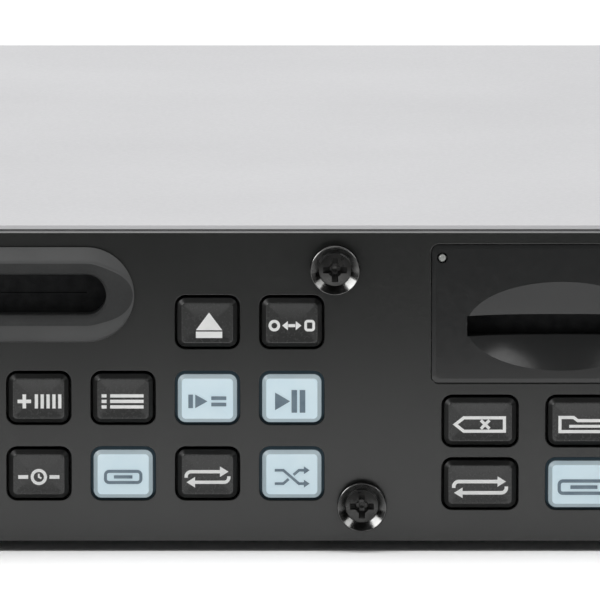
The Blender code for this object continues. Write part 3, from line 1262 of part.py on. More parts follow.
def line_jacks():
    bottom = BOARD_TOP + FIT
    top = PANEL_LIFT + JACK_Z + JACK_BLOCK_TOP
    back = REAR_WALL - FIT
    half = JACK_BLOCK_WIDTH / 2
    low = (JACK_X - half, back - JACK_BLOCK_DEPTH, bottom)
    jacks = block("line_jacks", low, (JACK_X + half, back, top), BLACK_PLASTIC)
    barrels = []
    bores = []
    for side in (-1, 1):
        place = (JACK_X + side * JACK_SPREAD, 0, PANEL_LIFT + JACK_Z)
        end = BODY_BACK + JACK_REACH
        start = back - JACK_BLOCK_DEPTH / 2
        barrels.append(prism(f"jack_{side}", circle(JACK_RADIUS), start, end, backwards, place))
        bore = circle(JACK_BORE_RADIUS, steps=12)
        bores.append(prism(f"jack_bore_{side}", bore, start, end + OVERRUN, backwards, place))
    fuse(jacks, *barrels)
    cut(jacks, *bores)


front_panel()
chassis_tray()
top_cover()
feet()
disc_slot_bezel()
card_slot_plate()
card_lamp()
card_socket()
for key_name in KEY_PLACES:
    key(key_name)
disc_key_board()
card_key_board()
for screw_name, (screw_x, screw_z) in PANEL_SCREWS.items():
    panel_screw(screw_name, screw_x, screw_z)
for side_name, window in WINDOWS.items():
    display_lens(f"{side_name}_display_lens", *window)
    display_module(f"{side_name}_display", *window)
level_knob()
level_control()
power_button()
power_switch()
drive_frame()
clamp_plate()
disc_clamper()
spindle_motor()
turntable()
feed_roller()
loading_motor()
laser_sled()
guide_rod()
lead_screw()
main_board()
power_board()
ribbon_cable()
mains_inlet()
line_jacks()
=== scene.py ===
import math

import bmesh
import bpy
from mathutils import Matrix, Vector


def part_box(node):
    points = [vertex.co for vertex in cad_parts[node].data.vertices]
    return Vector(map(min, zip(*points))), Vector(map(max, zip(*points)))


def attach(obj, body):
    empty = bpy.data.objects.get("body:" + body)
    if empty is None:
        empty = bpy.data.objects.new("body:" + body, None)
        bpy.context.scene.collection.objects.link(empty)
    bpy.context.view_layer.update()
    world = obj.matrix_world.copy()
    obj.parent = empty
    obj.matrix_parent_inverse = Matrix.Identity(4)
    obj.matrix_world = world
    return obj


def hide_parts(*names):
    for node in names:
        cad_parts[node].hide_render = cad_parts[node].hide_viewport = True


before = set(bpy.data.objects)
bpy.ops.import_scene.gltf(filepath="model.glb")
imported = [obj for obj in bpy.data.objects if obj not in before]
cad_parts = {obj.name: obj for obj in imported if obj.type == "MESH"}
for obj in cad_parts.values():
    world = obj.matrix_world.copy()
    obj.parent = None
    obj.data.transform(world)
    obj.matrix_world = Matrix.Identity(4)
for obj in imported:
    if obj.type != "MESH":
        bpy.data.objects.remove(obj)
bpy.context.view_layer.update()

mm = 0.001


def boxOf(node):
    # middle and size of a CAD node
    low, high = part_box(node)
    return (low + high) / 2, high - low


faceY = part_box("front_panel")[0].y  # the panel's front face
panelMiddle, panelSize = boxOf("front_panel")
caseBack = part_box("top_cover")[1].y


# materials, all read in the piece's own Object coordinates

def shaderNode(tree, kind, feeds=None, **choices):
    made = tree.nodes.new("ShaderNode" + kind)
    for name, value in choices.items():
        setattr(made, name, value)
    for name, value in (feeds or {}).items():
        if isinstance(value, bpy.types.NodeSocket):
            tree.links.new(value, made.inputs[name])
        else:
            made.inputs[name].default_value = value
    return made


def noiseAt(tree, place, size, detail=3.0):
    return shaderNode(tree, "TexNoise", {"Vector": place, "Scale": 1 / size, "Detail": detail}).outputs["Fac"]


def spread(tree, value, low, high, start=0.3, end=0.7):
    feeds = {"Value": value, "From Min": start, "From Max": end, "To Min": low, "To Max": high}
    return shaderNode(tree, "MapRange", feeds).outputs["Result"]


def blendColours(tree, share, first, second):
    mix = shaderNode(tree, "Mix", {0: share}, data_type="RGBA")
    for index, colour in ((6, first), (7, second)):
        if isinstance(colour, bpy.types.NodeSocket):
            tree.links.new(colour, mix.inputs[index])
        else:
            mix.inputs[index].default_value = (*colour, 1)
    return mix.outputs[2]


def startMaterial(name):
    made = bpy.data.materials.new(name)
    made.use_nodes = True
    return made, made.node_tree, made.node_tree.nodes["Principled BSDF"]


def addGrain(tree, shader, place, size, height, rough):
    grain = noiseAt(tree, place, size, 2.0)
    tree.links.new(spread(tree, grain, *rough), shader.inputs["Roughness"])
    bump = shaderNode(tree, "Bump", {"Height": grain, "Strength": 1.0, "Distance": height})
    tree.links.new(bump.outputs["Normal"], shader.inputs["Normal"])


def finish(name, dark, light, patch, grain, height, rough, inputs=None, stretch=None):
    made, tree, shader = startMaterial(name)
    place = shaderNode(tree, "TexCoord").outputs["Object"]
    if stretch:
        place = shaderNode(tree, "Mapping", {"Vector": place, "Scale": stretch}).outputs["Vector"]
    patches = spread(tree, noiseAt(tree, place, patch), 0, 1)
    tree.links.new(blendColours(tree, patches, dark, light), shader.inputs["Base Color"])
    addGrain(tree, shader, place, grain, height, rough)
    for key, value in (inputs or {}).items():
        shader.inputs[key].default_value = value
    return made


# two colours, the size of their patches, size and height of the grain, roughness, other inputs, stretch
finishLooks = {
    "panelSatin": ((0.02, 0.021, 0.02), (0.024, 0.025, 0.024), 0.03, 0.0004, 3e-6, (0.2, 0.27),
                   {"Specular IOR Level": 0.6}),
    "coverPaint": ((0.407, 0.407, 0.418), (0.437, 0.437, 0.448), 0.05, 0.0006, 1e-5, (0.42, 0.52)),
    "zincPlate": ((0.46, 0.47, 0.47), (0.55, 0.555, 0.55), 0.004, 0.002, 4e-6, (0.28, 0.45), {"Metallic": 1.0}),
    "bezelPlastic": ((0.066, 0.067, 0.067), (0.08, 0.081, 0.081), 0.01, 0.0003, 6e-6, (0.45, 0.55),
                     {"Specular IOR Level": 0.25}),
    # painted shade: a black key's chamfer and skirt, far darker than its face
    "keySideShade": ((0.0045, 0.0047, 0.0045), (0.0065, 0.0068, 0.0065), 0.004, 0.0004, 4e-6, (0.4, 0.5),
                {"Specular IOR Level": 0.3}),
    # painted shade: dark felt set inside the slots, where only shade shows
    "feltSlotShade": ((0.011, 0.0115, 0.012), (0.019, 0.0195, 0.02), 0.0015, 0.0003, 3e-5, (0.9, 1.0),
                 {"Specular IOR Level": 0.1}),
    # painted shade: a darker copy of the bezel plastic for the rings next to the disc slot
    "bezelLipShade": ((0.036, 0.037, 0.037), (0.046, 0.047, 0.047), 0.006, 0.0004, 8e-6, (0.7, 0.85),
                {"Specular IOR Level": 0.2}),
    "keyBlack": ((0.031, 0.0318, 0.0312), (0.0362, 0.037, 0.0363), 0.004, 0.0005, 2e-6, (0.22, 0.3)),
    "keyLit": ((0.5, 0.62, 0.68), (0.56, 0.66, 0.7), 0.006, 0.0005, 3e-6, (0.35, 0.45),
               {"Emission Color": (0.64, 0.81, 0.89, 1), "Emission Strength": 0.27}),
    # painted shade: a darker, dimmer copy of the lit key for its chamfer
    "keyLitSideShade": ((0.31, 0.385, 0.42), (0.35, 0.41, 0.435), 0.006, 0.0005, 2e-6, (0.35, 0.45),
                   {"Emission Color": (0.64, 0.81, 0.89, 1), "Emission Strength": 0.15}),
    # painted shade with a faint painted glow: a lit key's skirt in the gap round it
    "keyLitSkirtShadeAndGlow": ((0.02, 0.025, 0.03), (0.03, 0.036, 0.04), 0.004, 0.0005, 2e-6, (0.5, 0.6),
                    {"Emission Color": (0.5, 0.8, 1.0, 1), "Emission Strength": 0.035}),
    "markWhite": ((0.82, 0.83, 0.82), (0.9, 0.9, 0.89), 0.002, 0.0003, 2e-6, (0.45, 0.6)),
    "markBlue": ((0.13, 0.19, 0.24), (0.19, 0.26, 0.31), 0.002, 0.0003, 2e-6, (0.45, 0.6)),
    "plateGloss": ((0.022, 0.0228, 0.0228), (0.0262, 0.0268, 0.0268), 0.01, 0.0006, 2e-6, (0.14, 0.2)),
    "blackPlastic": ((0.016, 0.016, 0.016), (0.024, 0.024, 0.024), 0.01, 0.0004, 1e-5, (0.38, 0.5)),
    "screwChrome": ((0.12, 0.12, 0.118), (0.16, 0.16, 0.158), 0.002, 0.0008, 2e-6, (0.14, 0.22),
                    {"Metallic": 1.0}),
    "screwDark": ((0.045, 0.045, 0.044), (0.075, 0.075, 0.073), 0.0015, 0.0006, 4e-6, (0.25, 0.4),
                  {"Metallic": 0.6}),
    "brightSteel": ((0.5, 0.5, 0.51), (0.62, 0.62, 0.62), 0.003, 0.0006, 2e-6, (0.18, 0.3), {"Metallic": 1.0}),
    "footRubber": ((0.018, 0.018, 0.018), (0.032, 0.032, 0.031), 0.003, 0.0004, 2e-5, (0.75, 0.9),
                   {"Specular IOR Level": 0.25}),
    "lampClear": ((0.28, 0.29, 0.28), (0.36, 0.37, 0.35), 0.0005, 0.0005, 2e-6, (0.15, 0.25)),
    "lensSmoke": ((0.008, 0.009, 0.011), (0.011, 0.012, 0.014), 0.02, 0.001, 1e-6, (0.04, 0.08),
                  {"Coat Weight": 0.5, "Coat Roughness": 0.03}),
    "displayGlass": ((0.02, 0.03, 0.03), (0.035, 0.05, 0.05), 0.004, 0.001, 1e-6, (0.1, 0.2)),
    "collarWhite": ((0.72, 0.72, 0.7), (0.8, 0.8, 0.78), 0.002, 0.0004, 4e-6, (0.35, 0.45)),
    "collarRed": ((0.42, 0.02, 0.018), (0.5, 0.03, 0.025), 0.002, 0.0004, 4e-6, (0.35, 0.45)),
    "ratingPlate": ((0.4, 0.41, 0.42), (0.5, 0.51, 0.52), 0.004, 0.0004, 3e-6, (0.3, 0.42), {"Metallic": 0.5}),
    "ribbonGrey": ((0.38, 0.39, 0.42), (0.5, 0.51, 0.54), 0.0012, 0.0006, 2e-5, (0.5, 0.6), {}, (0.05, 1.0, 0.05)),
}
finishes = {name: finish(name, *look) for name, look in finishLooks.items()}
print("finishes:", len(finishes))


# mesh helpers

def placed(name, data):
    # a new object in the scene
    made = bpy.data.objects.new(name, data)
    bpy.context.scene.collection.objects.link(made)
    return made


def meshOf(shape, name):
    # the shape as a mesh; the shape itself is used up
    mesh = bpy.data.meshes.new(name)
    shape.to_mesh(mesh)
    shape.free()
    return mesh


def roundCorners(points, radius, steps=8):
    # a closed outline with an arc at each corner; radius may be a list, one for each corner
    radii = radius if isinstance(radius, list) else [radius] * len(points)
    rounded = []
    for i, (corner, radius) in enumerate(zip(points, radii)):
        if radius <= 0:
            rounded.append(corner)
            continue
        here = Vector(corner)
        back = (Vector(points[i - 1]) - here).normalized()
        on = (Vector(points[(i + 1) % len(points)]) - here).normalized()
        half = back.angle(on) / 2
        centre = here + (back + on).normalized() * radius / math.sin(half)
        start = here + back * radius / math.tan(half) - centre
        end = here + on * radius / math.tan(half) - centre
        turn = math.atan2(start.x * end.y - start.y * end.x, start.dot(end))
        for step in range(steps + 1):
            spot = centre + Matrix.Rotation(turn * step / steps, 2) @ start
            rounded.append((spot.x, spot.y))
    return rounded


def plate(width, height, radius=0.0, x=0.0, z=0.0, steps=8):
    corners = [(x - width / 2, z - height / 2), (x + width / 2, z - height / 2),
               (x + width / 2, z + height / 2), (x - width / 2, z + height / 2)]
    return roundCorners(corners, radius, steps)


def stadium(width, height, x, z, steps, roundness=0.499):
    # a slot with round ends
    return plate(width, height, height * roundness, x, z, steps)


def dot(radius, x=0.0, z=0.0, steps=6):
    return plate(2 * radius, 2 * radius, radius * 0.999, x, z, steps)


def flatShape(outlines, thick, edge=0.0, front=0.0, rings=2):
    # outlines in X and Z become a sheet with rounded rims; a line inside another is a hole
    line = bpy.data.curves.new("outline", "CURVE")
    line.dimensions = "2D"
    line.fill_mode = "BOTH"
    line.extrude = thick / 2 - edge
    line.bevel_depth = edge
    line.bevel_resolution = rings
    line.offset = -edge
    for points in outlines:
        spline = line.splines.new("POLY")
        spline.points.add(len(points) - 1)
        for knot, (x, z) in zip(spline.points, points):
            knot.co = (x, z, 0, 1)
        spline.use_cyclic_u = True
    holder = placed("outline", line)
    graph = bpy.context.evaluated_depsgraph_get()
    mesh = bpy.data.meshes.new_from_object(holder.evaluated_get(graph))
    shape = bmesh.new()
    shape.from_mesh(mesh)
    bmesh.ops.remove_doubles(shape, verts=shape.verts, dist=0.0005 * mm)
    bmesh.ops.rotate(shape, verts=shape.verts, matrix=Matrix.Rotation(math.pi / 2, 3, "X"))
    bmesh.ops.translate(shape, verts=shape.verts, vec=(0, front + thick / 2, 0))
    bmesh.ops.recalc_face_normals(shape, faces=shape.faces)
    bpy.data.objects.remove(holder)
    bpy.data.meshes.remove(mesh)
    bpy.data.curves.remove(line)
    return shape


def blockShape(low, high):
    shape = bmesh.new()
    bmesh.ops.create_cube(shape, size=1)
    size = Vector(high) - Vector(low)
    bmesh.ops.scale(shape, verts=shape.verts, vec=size)
    bmesh.ops.translate(shape, verts=shape.verts, vec=Vector(low) + size / 2)
    return shape


def turnedShape(profile, place, axis=(0, 1, 0), steps=48):
    # spins a line of (radius, depth) points; depth runs along the axis
    along = Vector(axis)
    out = Vector((0, 0, 1)) if abs(along.z) < 0.5 else Vector((1, 0, 0))
    shape = bmesh.new()
    knots = [shape.verts.new(Vector(place) + out * radius + along * depth) for radius, depth in profile]
    for first, second in zip(knots, knots[1:]):
        shape.edges.new((first, second))
    bmesh.ops.spin(shape, geom=shape.verts[:] + shape.edges[:], cent=place, axis=along, angle=2 * math.pi,
                   steps=steps, use_merge=True, use_duplicate=False)
    bmesh.ops.remove_doubles(shape, verts=shape.verts, dist=0.001 * mm)
    bmesh.ops.recalc_face_normals(shape, faces=shape.faces)
    return shape


def join(shape, *others):
    # adds other shapes to the first
    for other in others:
        mesh = meshOf(other, "joined")
        shape.from_mesh(mesh)
        bpy.data.meshes.remove(mesh)
    return shape


def makePiece(name, shape, look, body="casing", nodes=(), sharp=35, inner=()):
    mesh = meshOf(shape, name)
    mesh.shade_smooth()
    mesh.set_sharp_from_angle(angle=math.radians(sharp))
    mesh.materials.append(finishes[look])
    for other in inner:
        mesh.materials.append(finishes[other])
    piece = placed(name, mesh)
    even = piece.modifiers.new("even_shading", "WEIGHTED_NORMAL")  # keeps flat faces flat beside their rims
    even.keep_sharp = True
    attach(piece, body)
    if nodes:
        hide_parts(*nodes)
    return piece


def bridge(shape, rings):
    # joins rings of as many points each into a closed shape
    for near, far in zip(rings, rings[1:]):
        for i in range(len(near)):
            shape.faces.new((near[i - 1], near[i], far[i], far[i - 1]))
    shape.faces.new(rings[0])
    shape.faces.new(rings[-1])
    bmesh.ops.recalc_face_normals(shape, faces=shape.faces)
    return shape


def layered(layers, x=0.0, z=0.0):
    # outlines of as many points, each at its own Y
    shape = bmesh.new()
    return bridge(shape, [[shape.verts.new((x + u, y, z + v)) for u, v in outline] for outline, y in layers])


def carve(shape, *cutters, mode="DIFFERENCE"):
    # cuts other shapes out of the first, or joins them to it
    made = [placed("carving", meshOf(part, "carving")) for part in (shape, *cutters)]
    for cutter in made[1:]:
        step = made[0].modifiers.new("cut", "BOOLEAN")
        step.object = cutter
        step.operation = mode
        step.solver = "EXACT"
    graph = bpy.context.evaluated_depsgraph_get()
    mesh = bpy.data.meshes.new_from_object(made[0].evaluated_get(graph))
    result = bmesh.new()
    result.from_mesh(mesh)
    bpy.data.meshes.remove(mesh)
    for part in made:
        bpy.data.meshes.remove(part.data)
    return result


# what the front pieces share

# sideFrom and skirtFrom: depths behind which a key takes its painted-shade copies
keyLook = {"corner": 1.15 * mm, "leastCorner": 0.15 * mm, "chamfer": 0.66 * mm, "softening": 0.08 * mm,
           "dish": 0.09 * mm, "dishRings": 7, "dishFlat": 0.2 * mm, "sideFrom": 0.128 * mm,
           "skirtFrom": 0.594 * mm, "gap": 0.35 * mm, "lip": 0.3 * mm, "lipThick": 1.0 * mm,
           "stem": 1.2 * mm, "stemRound": 0.95}
discKeys = ["skip_back", "skip_forward", "time", "plus_ten", "single", "program", "repeat", "cue", "eject",
            "shuffle", "play", "source"]
cardKeys = ["card_repeat", "card_delete", "card_single", "card_folder", "card_stop", "card_record",
            "card_play", "card_pause"]
litKeys = ["single", "cue", "shuffle", "play", "card_single", "card_play"]
screws = ["panel_screw_upper", "panel_screw_lower", "panel_screw_left", "panel_screw_right"]
lensLip = 1.2 * mm  # how far a lens reaches behind its window's edge
plateEar = 1.6 * mm  # how far the card plate's ears reach to each side
slotRim = 4.0 * mm  # from the disc slot to the bezel's outer edge
slotNeck = 1.6 * mm  # from the disc slot to the panel's opening
sheetGap = 0.3 * mm
boardThick = 1.6 * mm


def keyCap(name):
    # middle and size of a key's cap, without the lip behind the panel
    middle, size = boxOf(name + "_key")
    lip = 2 * (keyLook["gap"] + keyLook["lip"])
    return middle.x, middle.z, size.x - lip, size.z - lip


# front panel, with a rounded rim round every hole

panelLook = {"thick": 3.0 * mm, "corner": 0.8 * mm, "rim": 0.12 * mm, "earSlot": (10 * mm, 7 * mm),
             "earAcross": 465.1 * mm, "earApart": 31.75 * mm, "windowCorner": 1.0 * mm,
             "insertCorner": 1.1 * mm, "screwHole": 2.05 * mm, "shaftHole": 4.8 * mm,
             "studRoot": 2.5 * mm, "keyStud": 1.0 * mm, "displayStud": 1.3 * mm}
panelBack = faceY + panelLook["thick"]


def panelHoles():
    holes = []
    slotWidth, slotHeight = panelLook["earSlot"]
    for side in (-1, 1):
        for level in (-1, 1):
            x = side * panelLook["earAcross"] / 2
            z = panelMiddle.z + level * panelLook["earApart"] / 2
            holes.append(stadium(slotWidth, slotHeight, x, z, 12))
    middle, size = boxOf("disc_slot_bezel")
    less = 2 * (slotRim - slotNeck)
    holes.append(stadium(size.x - less, size.z - less, middle.x, middle.z, 16))
    for name in discKeys + cardKeys:
        x, z, width, height = keyCap(name)
        gap = keyLook["gap"]
        holes.append(plate(width + 2 * gap, height + 2 * gap, keyLook["corner"] + gap, x, z))
    for name in ("disc_display_lens", "card_display_lens"):
        middle, size = boxOf(name)
        width, height = size.x - 2 * lensLip, size.z - 2 * lensLip
        holes.append(plate(width, height, panelLook["windowCorner"], middle.x, middle.z))
    middle, size = boxOf("card_slot_plate")
    width, height = size.x - 2 * plateEar + 2 * sheetGap, size.z + 2 * sheetGap
    holes.append(plate(width, height, panelLook["insertCorner"], middle.x, middle.z))
    for name in screws:
        middle = boxOf(name)[0]
        holes.append(dot(panelLook["screwHole"], middle.x, middle.z))
    for name in ("level_knob", "power_button"):
        middle = boxOf(name)[0]
        holes.append(dot(panelLook["shaftHole"], middle.x, middle.z, 10))
    return holes


def studPlaces():
    # studs that hold the key boards stand between four keys, those of the displays beside the windows
    spots = []
    corners = [("skip_back", "plus_ten"), ("single", "cue"), ("cue", "source"), ("card_repeat", "card_folder"),
               ("card_stop", "card_pause")]
    for first, second in corners:
        one, two = keyCap(first), keyCap(second)
        spots.append(((one[0] + two[0]) / 2, (one[1] + two[1]) / 2, panelLook["keyStud"], boardFront))
    for display in ("disc_display", "card_display"):
        middle, size = boxOf(display + "_lens")
        for side in (-1, 1):
            x = middle.x + side * (size.x / 2 + panelLook["displayStud"] + sheetGap)
            spots.append((x, middle.z, panelLook["displayStud"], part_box(display)[0].y - sheetGap))
    return spots


outline = plate(panelSize.x, panelSize.z, panelLook["corner"], panelMiddle.x, panelMiddle.z)
panel = flatShape([outline] + panelHoles(), panelLook["thick"], panelLook["rim"], faceY)
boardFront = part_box("disc_key_board")[1].y - boardThick - sheetGap
for x, z, radius, end in studPlaces():
    root = panelLook["studRoot"]
    stud = [(0, root), (radius, root), (radius, end - faceY), (0, end - faceY)]
    join(panel, turnedShape(stud, (x, faceY, z), steps=16))
makePiece("panel_face", panel, "panelSatin", "casing", ["front_panel"], sharp=12)
print("front panel")


# disc slot bezel: a raised rim with a profile of its own above, below and at its ends
# (each point is how far out from the slot and how high over the panel, in millimetres)

bezelLook = {"above": ((4.0, 0.0), (3.97, 0.05), (3.85, 0.14), (2.35, 1.3), (2.12, 1.38), (1.85, 1.32),
                       (0.95, 0.78), (0.3, 0.15), (0.0, -0.9)),
             "end": ((3.93, 0.0), (3.9, 0.02), (3.87, 0.04), (3.83, 0.06), (3.79, 0.08), (3.75, 0.1),
                     (2.3, 0.44), (0.45, 0.6), (0.0, 0.42)),
             "below": ((3.8, 0.0), (3.77, 0.08), (3.5, 0.55), (2.9, 1.0), (2.0, 1.29), (1.3, 1.38),
                       (0.9, 1.33), (0.4, 0.9), (0.0, 0.2)),
             # lip: the rings next to the slot, which take the painted-shade copy of the plastic
             "lip": (6, 7, 8), "turnSteps": 32, "longer": 0.5 * mm, "neck": 1.3 * mm, "reach": 4.4 * mm}


def slotBezel():
    middle, size = boxOf("disc_slot_bezel")
    width, height = size.x - 2 * slotRim, size.z - 2 * slotRim
    half = (width - height) / 2 + bezelLook["longer"]
    stations = []
    for side in (1, -1):
        for step in range(bezelLook["turnSteps"] + 1):
            turn = math.pi * (step / bezelLook["turnSteps"] - 0.5) + (0 if side > 0 else math.pi)
            stations.append((side * half, math.cos(turn), math.sin(turn)))
    shape = bmesh.new()
    rings = []
    for points in zip(bezelLook["above"], bezelLook["below"], bezelLook["end"]):
        above, below, end = (Vector(point) for point in points)
        ring = []
        for x, u, v in stations:
            out, up = ((above + below) / 2 + v * (above - below) / 2).lerp(end, u ** 4) * mm
            reach = height / 2 + out
            spot = (middle.x + x + u * reach, faceY - sheetGap - up, middle.z + v * reach)
            ring.append(shape.verts.new(spot))
        rings.append(ring)
    backs = ((0.0, bezelLook["reach"]), (bezelLook["neck"], bezelLook["reach"]), (bezelLook["neck"], -sheetGap))
    for out, depth in backs:
        reach = height / 2 + out
        rings.append([shape.verts.new((middle.x + x + u * reach, faceY + depth, middle.z + v * reach))
                      for x, u, v in stations])
    for step, (near, far) in enumerate(zip(rings, rings[1:] + rings[:1]), 1):
        for i in range(len(near)):
            face = shape.faces.new((near[i - 1], near[i], far[i], far[i - 1]))
            face.material_index = int(step in bezelLook["lip"])  # painted shade: the rings next to the slot take a darker copy of the bezel plastic
    bmesh.ops.recalc_face_normals(shape, faces=shape.faces)
    return shape


# the rim's rings next to the slot are in painted shade
makePiece("disc_slot_rim", slotBezel(), "bezelPlastic", "casing", ["disc_slot_bezel"], sharp=20,
          inner=["bezelLipShade"])

# painted shade: two dark felt strips in the slot's throat, where only shade shows
feltLook = {"depth": 3.2 * mm, "thick": 0.8 * mm, "part": 0.1 * mm, "fit": 0.02 * mm}
middle, size = boxOf("disc_slot_bezel")
width, height = size.x - 2 * slotRim + 2 * bezelLook["longer"], size.z - 2 * slotRim
less, depth = 2 * feltLook["fit"], feltLook["depth"]
strips = flatShape([plate(width - less, height - less, height * 0.49, middle.x, middle.z, 16)],
                   feltLook["thick"], 0.0, faceY + depth)
along, apart = (width - height) / 2, feltLook["part"] / 2
parting = blockShape((middle.x - along, faceY, middle.z - apart),
                     (middle.x + along, faceY + 3 * depth, middle.z + apart))
makePiece("slot_shade_felt", carve(strips, parting), "feltSlotShade")


# keys: a flat face, a straight chamfer and a lip behind the panel

def keyShape(name):
    x, z, width, height = keyCap(name)
    low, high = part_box(name + "_key")
    chamfer, soft = keyLook["chamfer"], keyLook["softening"]
    bend = soft / math.tan(math.pi / 8)  # radius of the small arcs at both ends of the chamfer
    rims = []
    for step in range(4):
        turn = math.pi / 4 * step / 3
        rims.append((chamfer + soft - bend * math.sin(turn), bend * (1 - math.cos(turn))))
    rims += [(back, across) for across, back in reversed(rims)]

    def at(inset, y):
        radius = max(keyLook["corner"] - inset, keyLook["leastCorner"])
        return plate(width - 2 * inset, height - 2 * inset, radius), y

    layers = []
    start = rims[0][0]
    for step in range(keyLook["dishRings"], 0, -1):
        # a shallow dish inside the chamfer
        share = step / keyLook["dishRings"]
        inset = start + (height / 2 - keyLook["dishFlat"] - start) * share
        layers.append(at(inset, low.y + keyLook["dish"] * (1 - (1 - share) ** 2)))
    layers += [at(inset, low.y + depth) for inset, depth in rims]
    lipFront = panelBack + sheetGap
    lipBack = lipFront + keyLook["lipThick"]
    grow = keyLook["gap"] + keyLook["lip"]
    stem = plate(2 * keyLook["stem"], 2 * keyLook["stem"], keyLook["stem"] * keyLook["stemRound"])
    lip = plate(width + 2 * grow, height + 2 * grow, keyLook["corner"])
    layers += [at(0, lipFront), (lip, lipFront), (lip, lipBack), (stem, lipBack), (stem, high.y)]
    shape = layered(layers, x, z)
    for face in shape.faces:
        # painted shade: the chamfer and what is behind it take darker, shaded copies of the key's colour, and a
        # lit key's skirt also has a faint painted glow
        depth = face.calc_center_median().y - low.y
        face.material_index = int(depth > keyLook["sideFrom"]) + int(depth > keyLook["skirtFrom"])
    return shape


for name in discKeys + cardKeys:
    lit = name in litKeys
    # black keys get painted shade on chamfer and skirt; lit keys get shaded copies, the skirt with a painted glow
    makePiece(name + "_cap", keyShape(name), "keyLit" if lit else "keyBlack", name + "_key",
              [name + "_key"], sharp=22,
              inner=["keyLitSideShade", "keyLitSkirtShadeAndGlow"] if lit else ["keySideShade", "keySideShade"])
print("keys:", len(discKeys + cardKeys))


# marks on the keys: plain symbols in millimetres round each key's middle

def tri(x, z, width, height, way="right"):
    # a triangle that points one way, its middle at x, z
    w, h = width / 2, height / 2
    points = {"right": [(-w, -h), (w, 0), (-w, h)], "left": [(w, h), (-w, 0), (w, -h)],
              "up": [(-w, -h), (w, -h), (0, h)], "down": [(w, h), (-w, h), (0, -h)]}[way]
    return [(x + u, z + v) for u, v in points]


def bar(x, z, width, height, radius=0.0):
    return plate(width, height, radius, x, z, 3)


def ring(x, z, outer, inner):
    return [dot(outer, x, z), dot(inner, x, z)]


def offsetLine(points, reach, closed=False):
    # the same run of points, moved sideways
    spots = [Vector(point) for point in points]
    moved = []
    for i, spot in enumerate(spots):
        back = (spot - spots[i - 1]).normalized() if i or closed else None
        on = (spots[(i + 1) % len(spots)] - spot).normalized() if i + 1 < len(spots) or closed else None
        way = (back or on) + (on or back)
        side = Vector((-way.y, way.x)).normalized()
        last = on or back
        moved.append(tuple(spot + side * reach / max(0.4, side.dot(Vector((-last.y, last.x))))))
    return moved


def stroke(points, line):
    # a thin even band along a run of points
    return offsetLine(points, line / 2) + offsetLine(points, -line / 2)[::-1]


def band(points, line):
    # an even band round a closed outline
    return [offsetLine(points, line / 2, True), offsetLine(points, -line / 2, True)]


def frameOf(x, z, width, height, line, radius):
    return band(plate(width - line, height - line, radius, x, z, 5), line)


def arc(x, z, radius, line, start, end, steps=14):
    spots = []
    for step in range(steps + 1):
        turn = math.radians(start + (end - start) * step / steps)
        spots.append((x + radius * math.cos(turn), z + radius * math.sin(turn)))
    return stroke(spots, line)


def cross(x, z, size, line):
    # a diagonal cross as one outline
    long, thin = size / 2, line / 2
    plus = [(thin, thin), (thin, long), (-thin, long), (-thin, thin), (-long, thin), (-long, -thin),
            (-thin, -thin), (-thin, -long), (thin, -long), (thin, -thin), (long, -thin), (long, thin)]
    share = math.sqrt(0.5)
    return [(x + (u - v) * share, z + (u + v) * share) for u, v in plus]


def loop(width, height, line):
    # two halves of a long loop, each ending in an arrow head
    w, h, bend = width / 2, height / 2, height * 0.45
    upper = roundCorners([(-w, -0.1), (-w, h), (w - 1.25, h)], [0, bend, 0], 6)
    lower = [(-u, -v) for u, v in upper]
    return [[stroke(upper, line)], [tri(w - 0.65, h, 1.2, 1.5)], [stroke(lower, line)],
            [tri(0.65 - w, -h, 1.2, 1.5, "left")]]


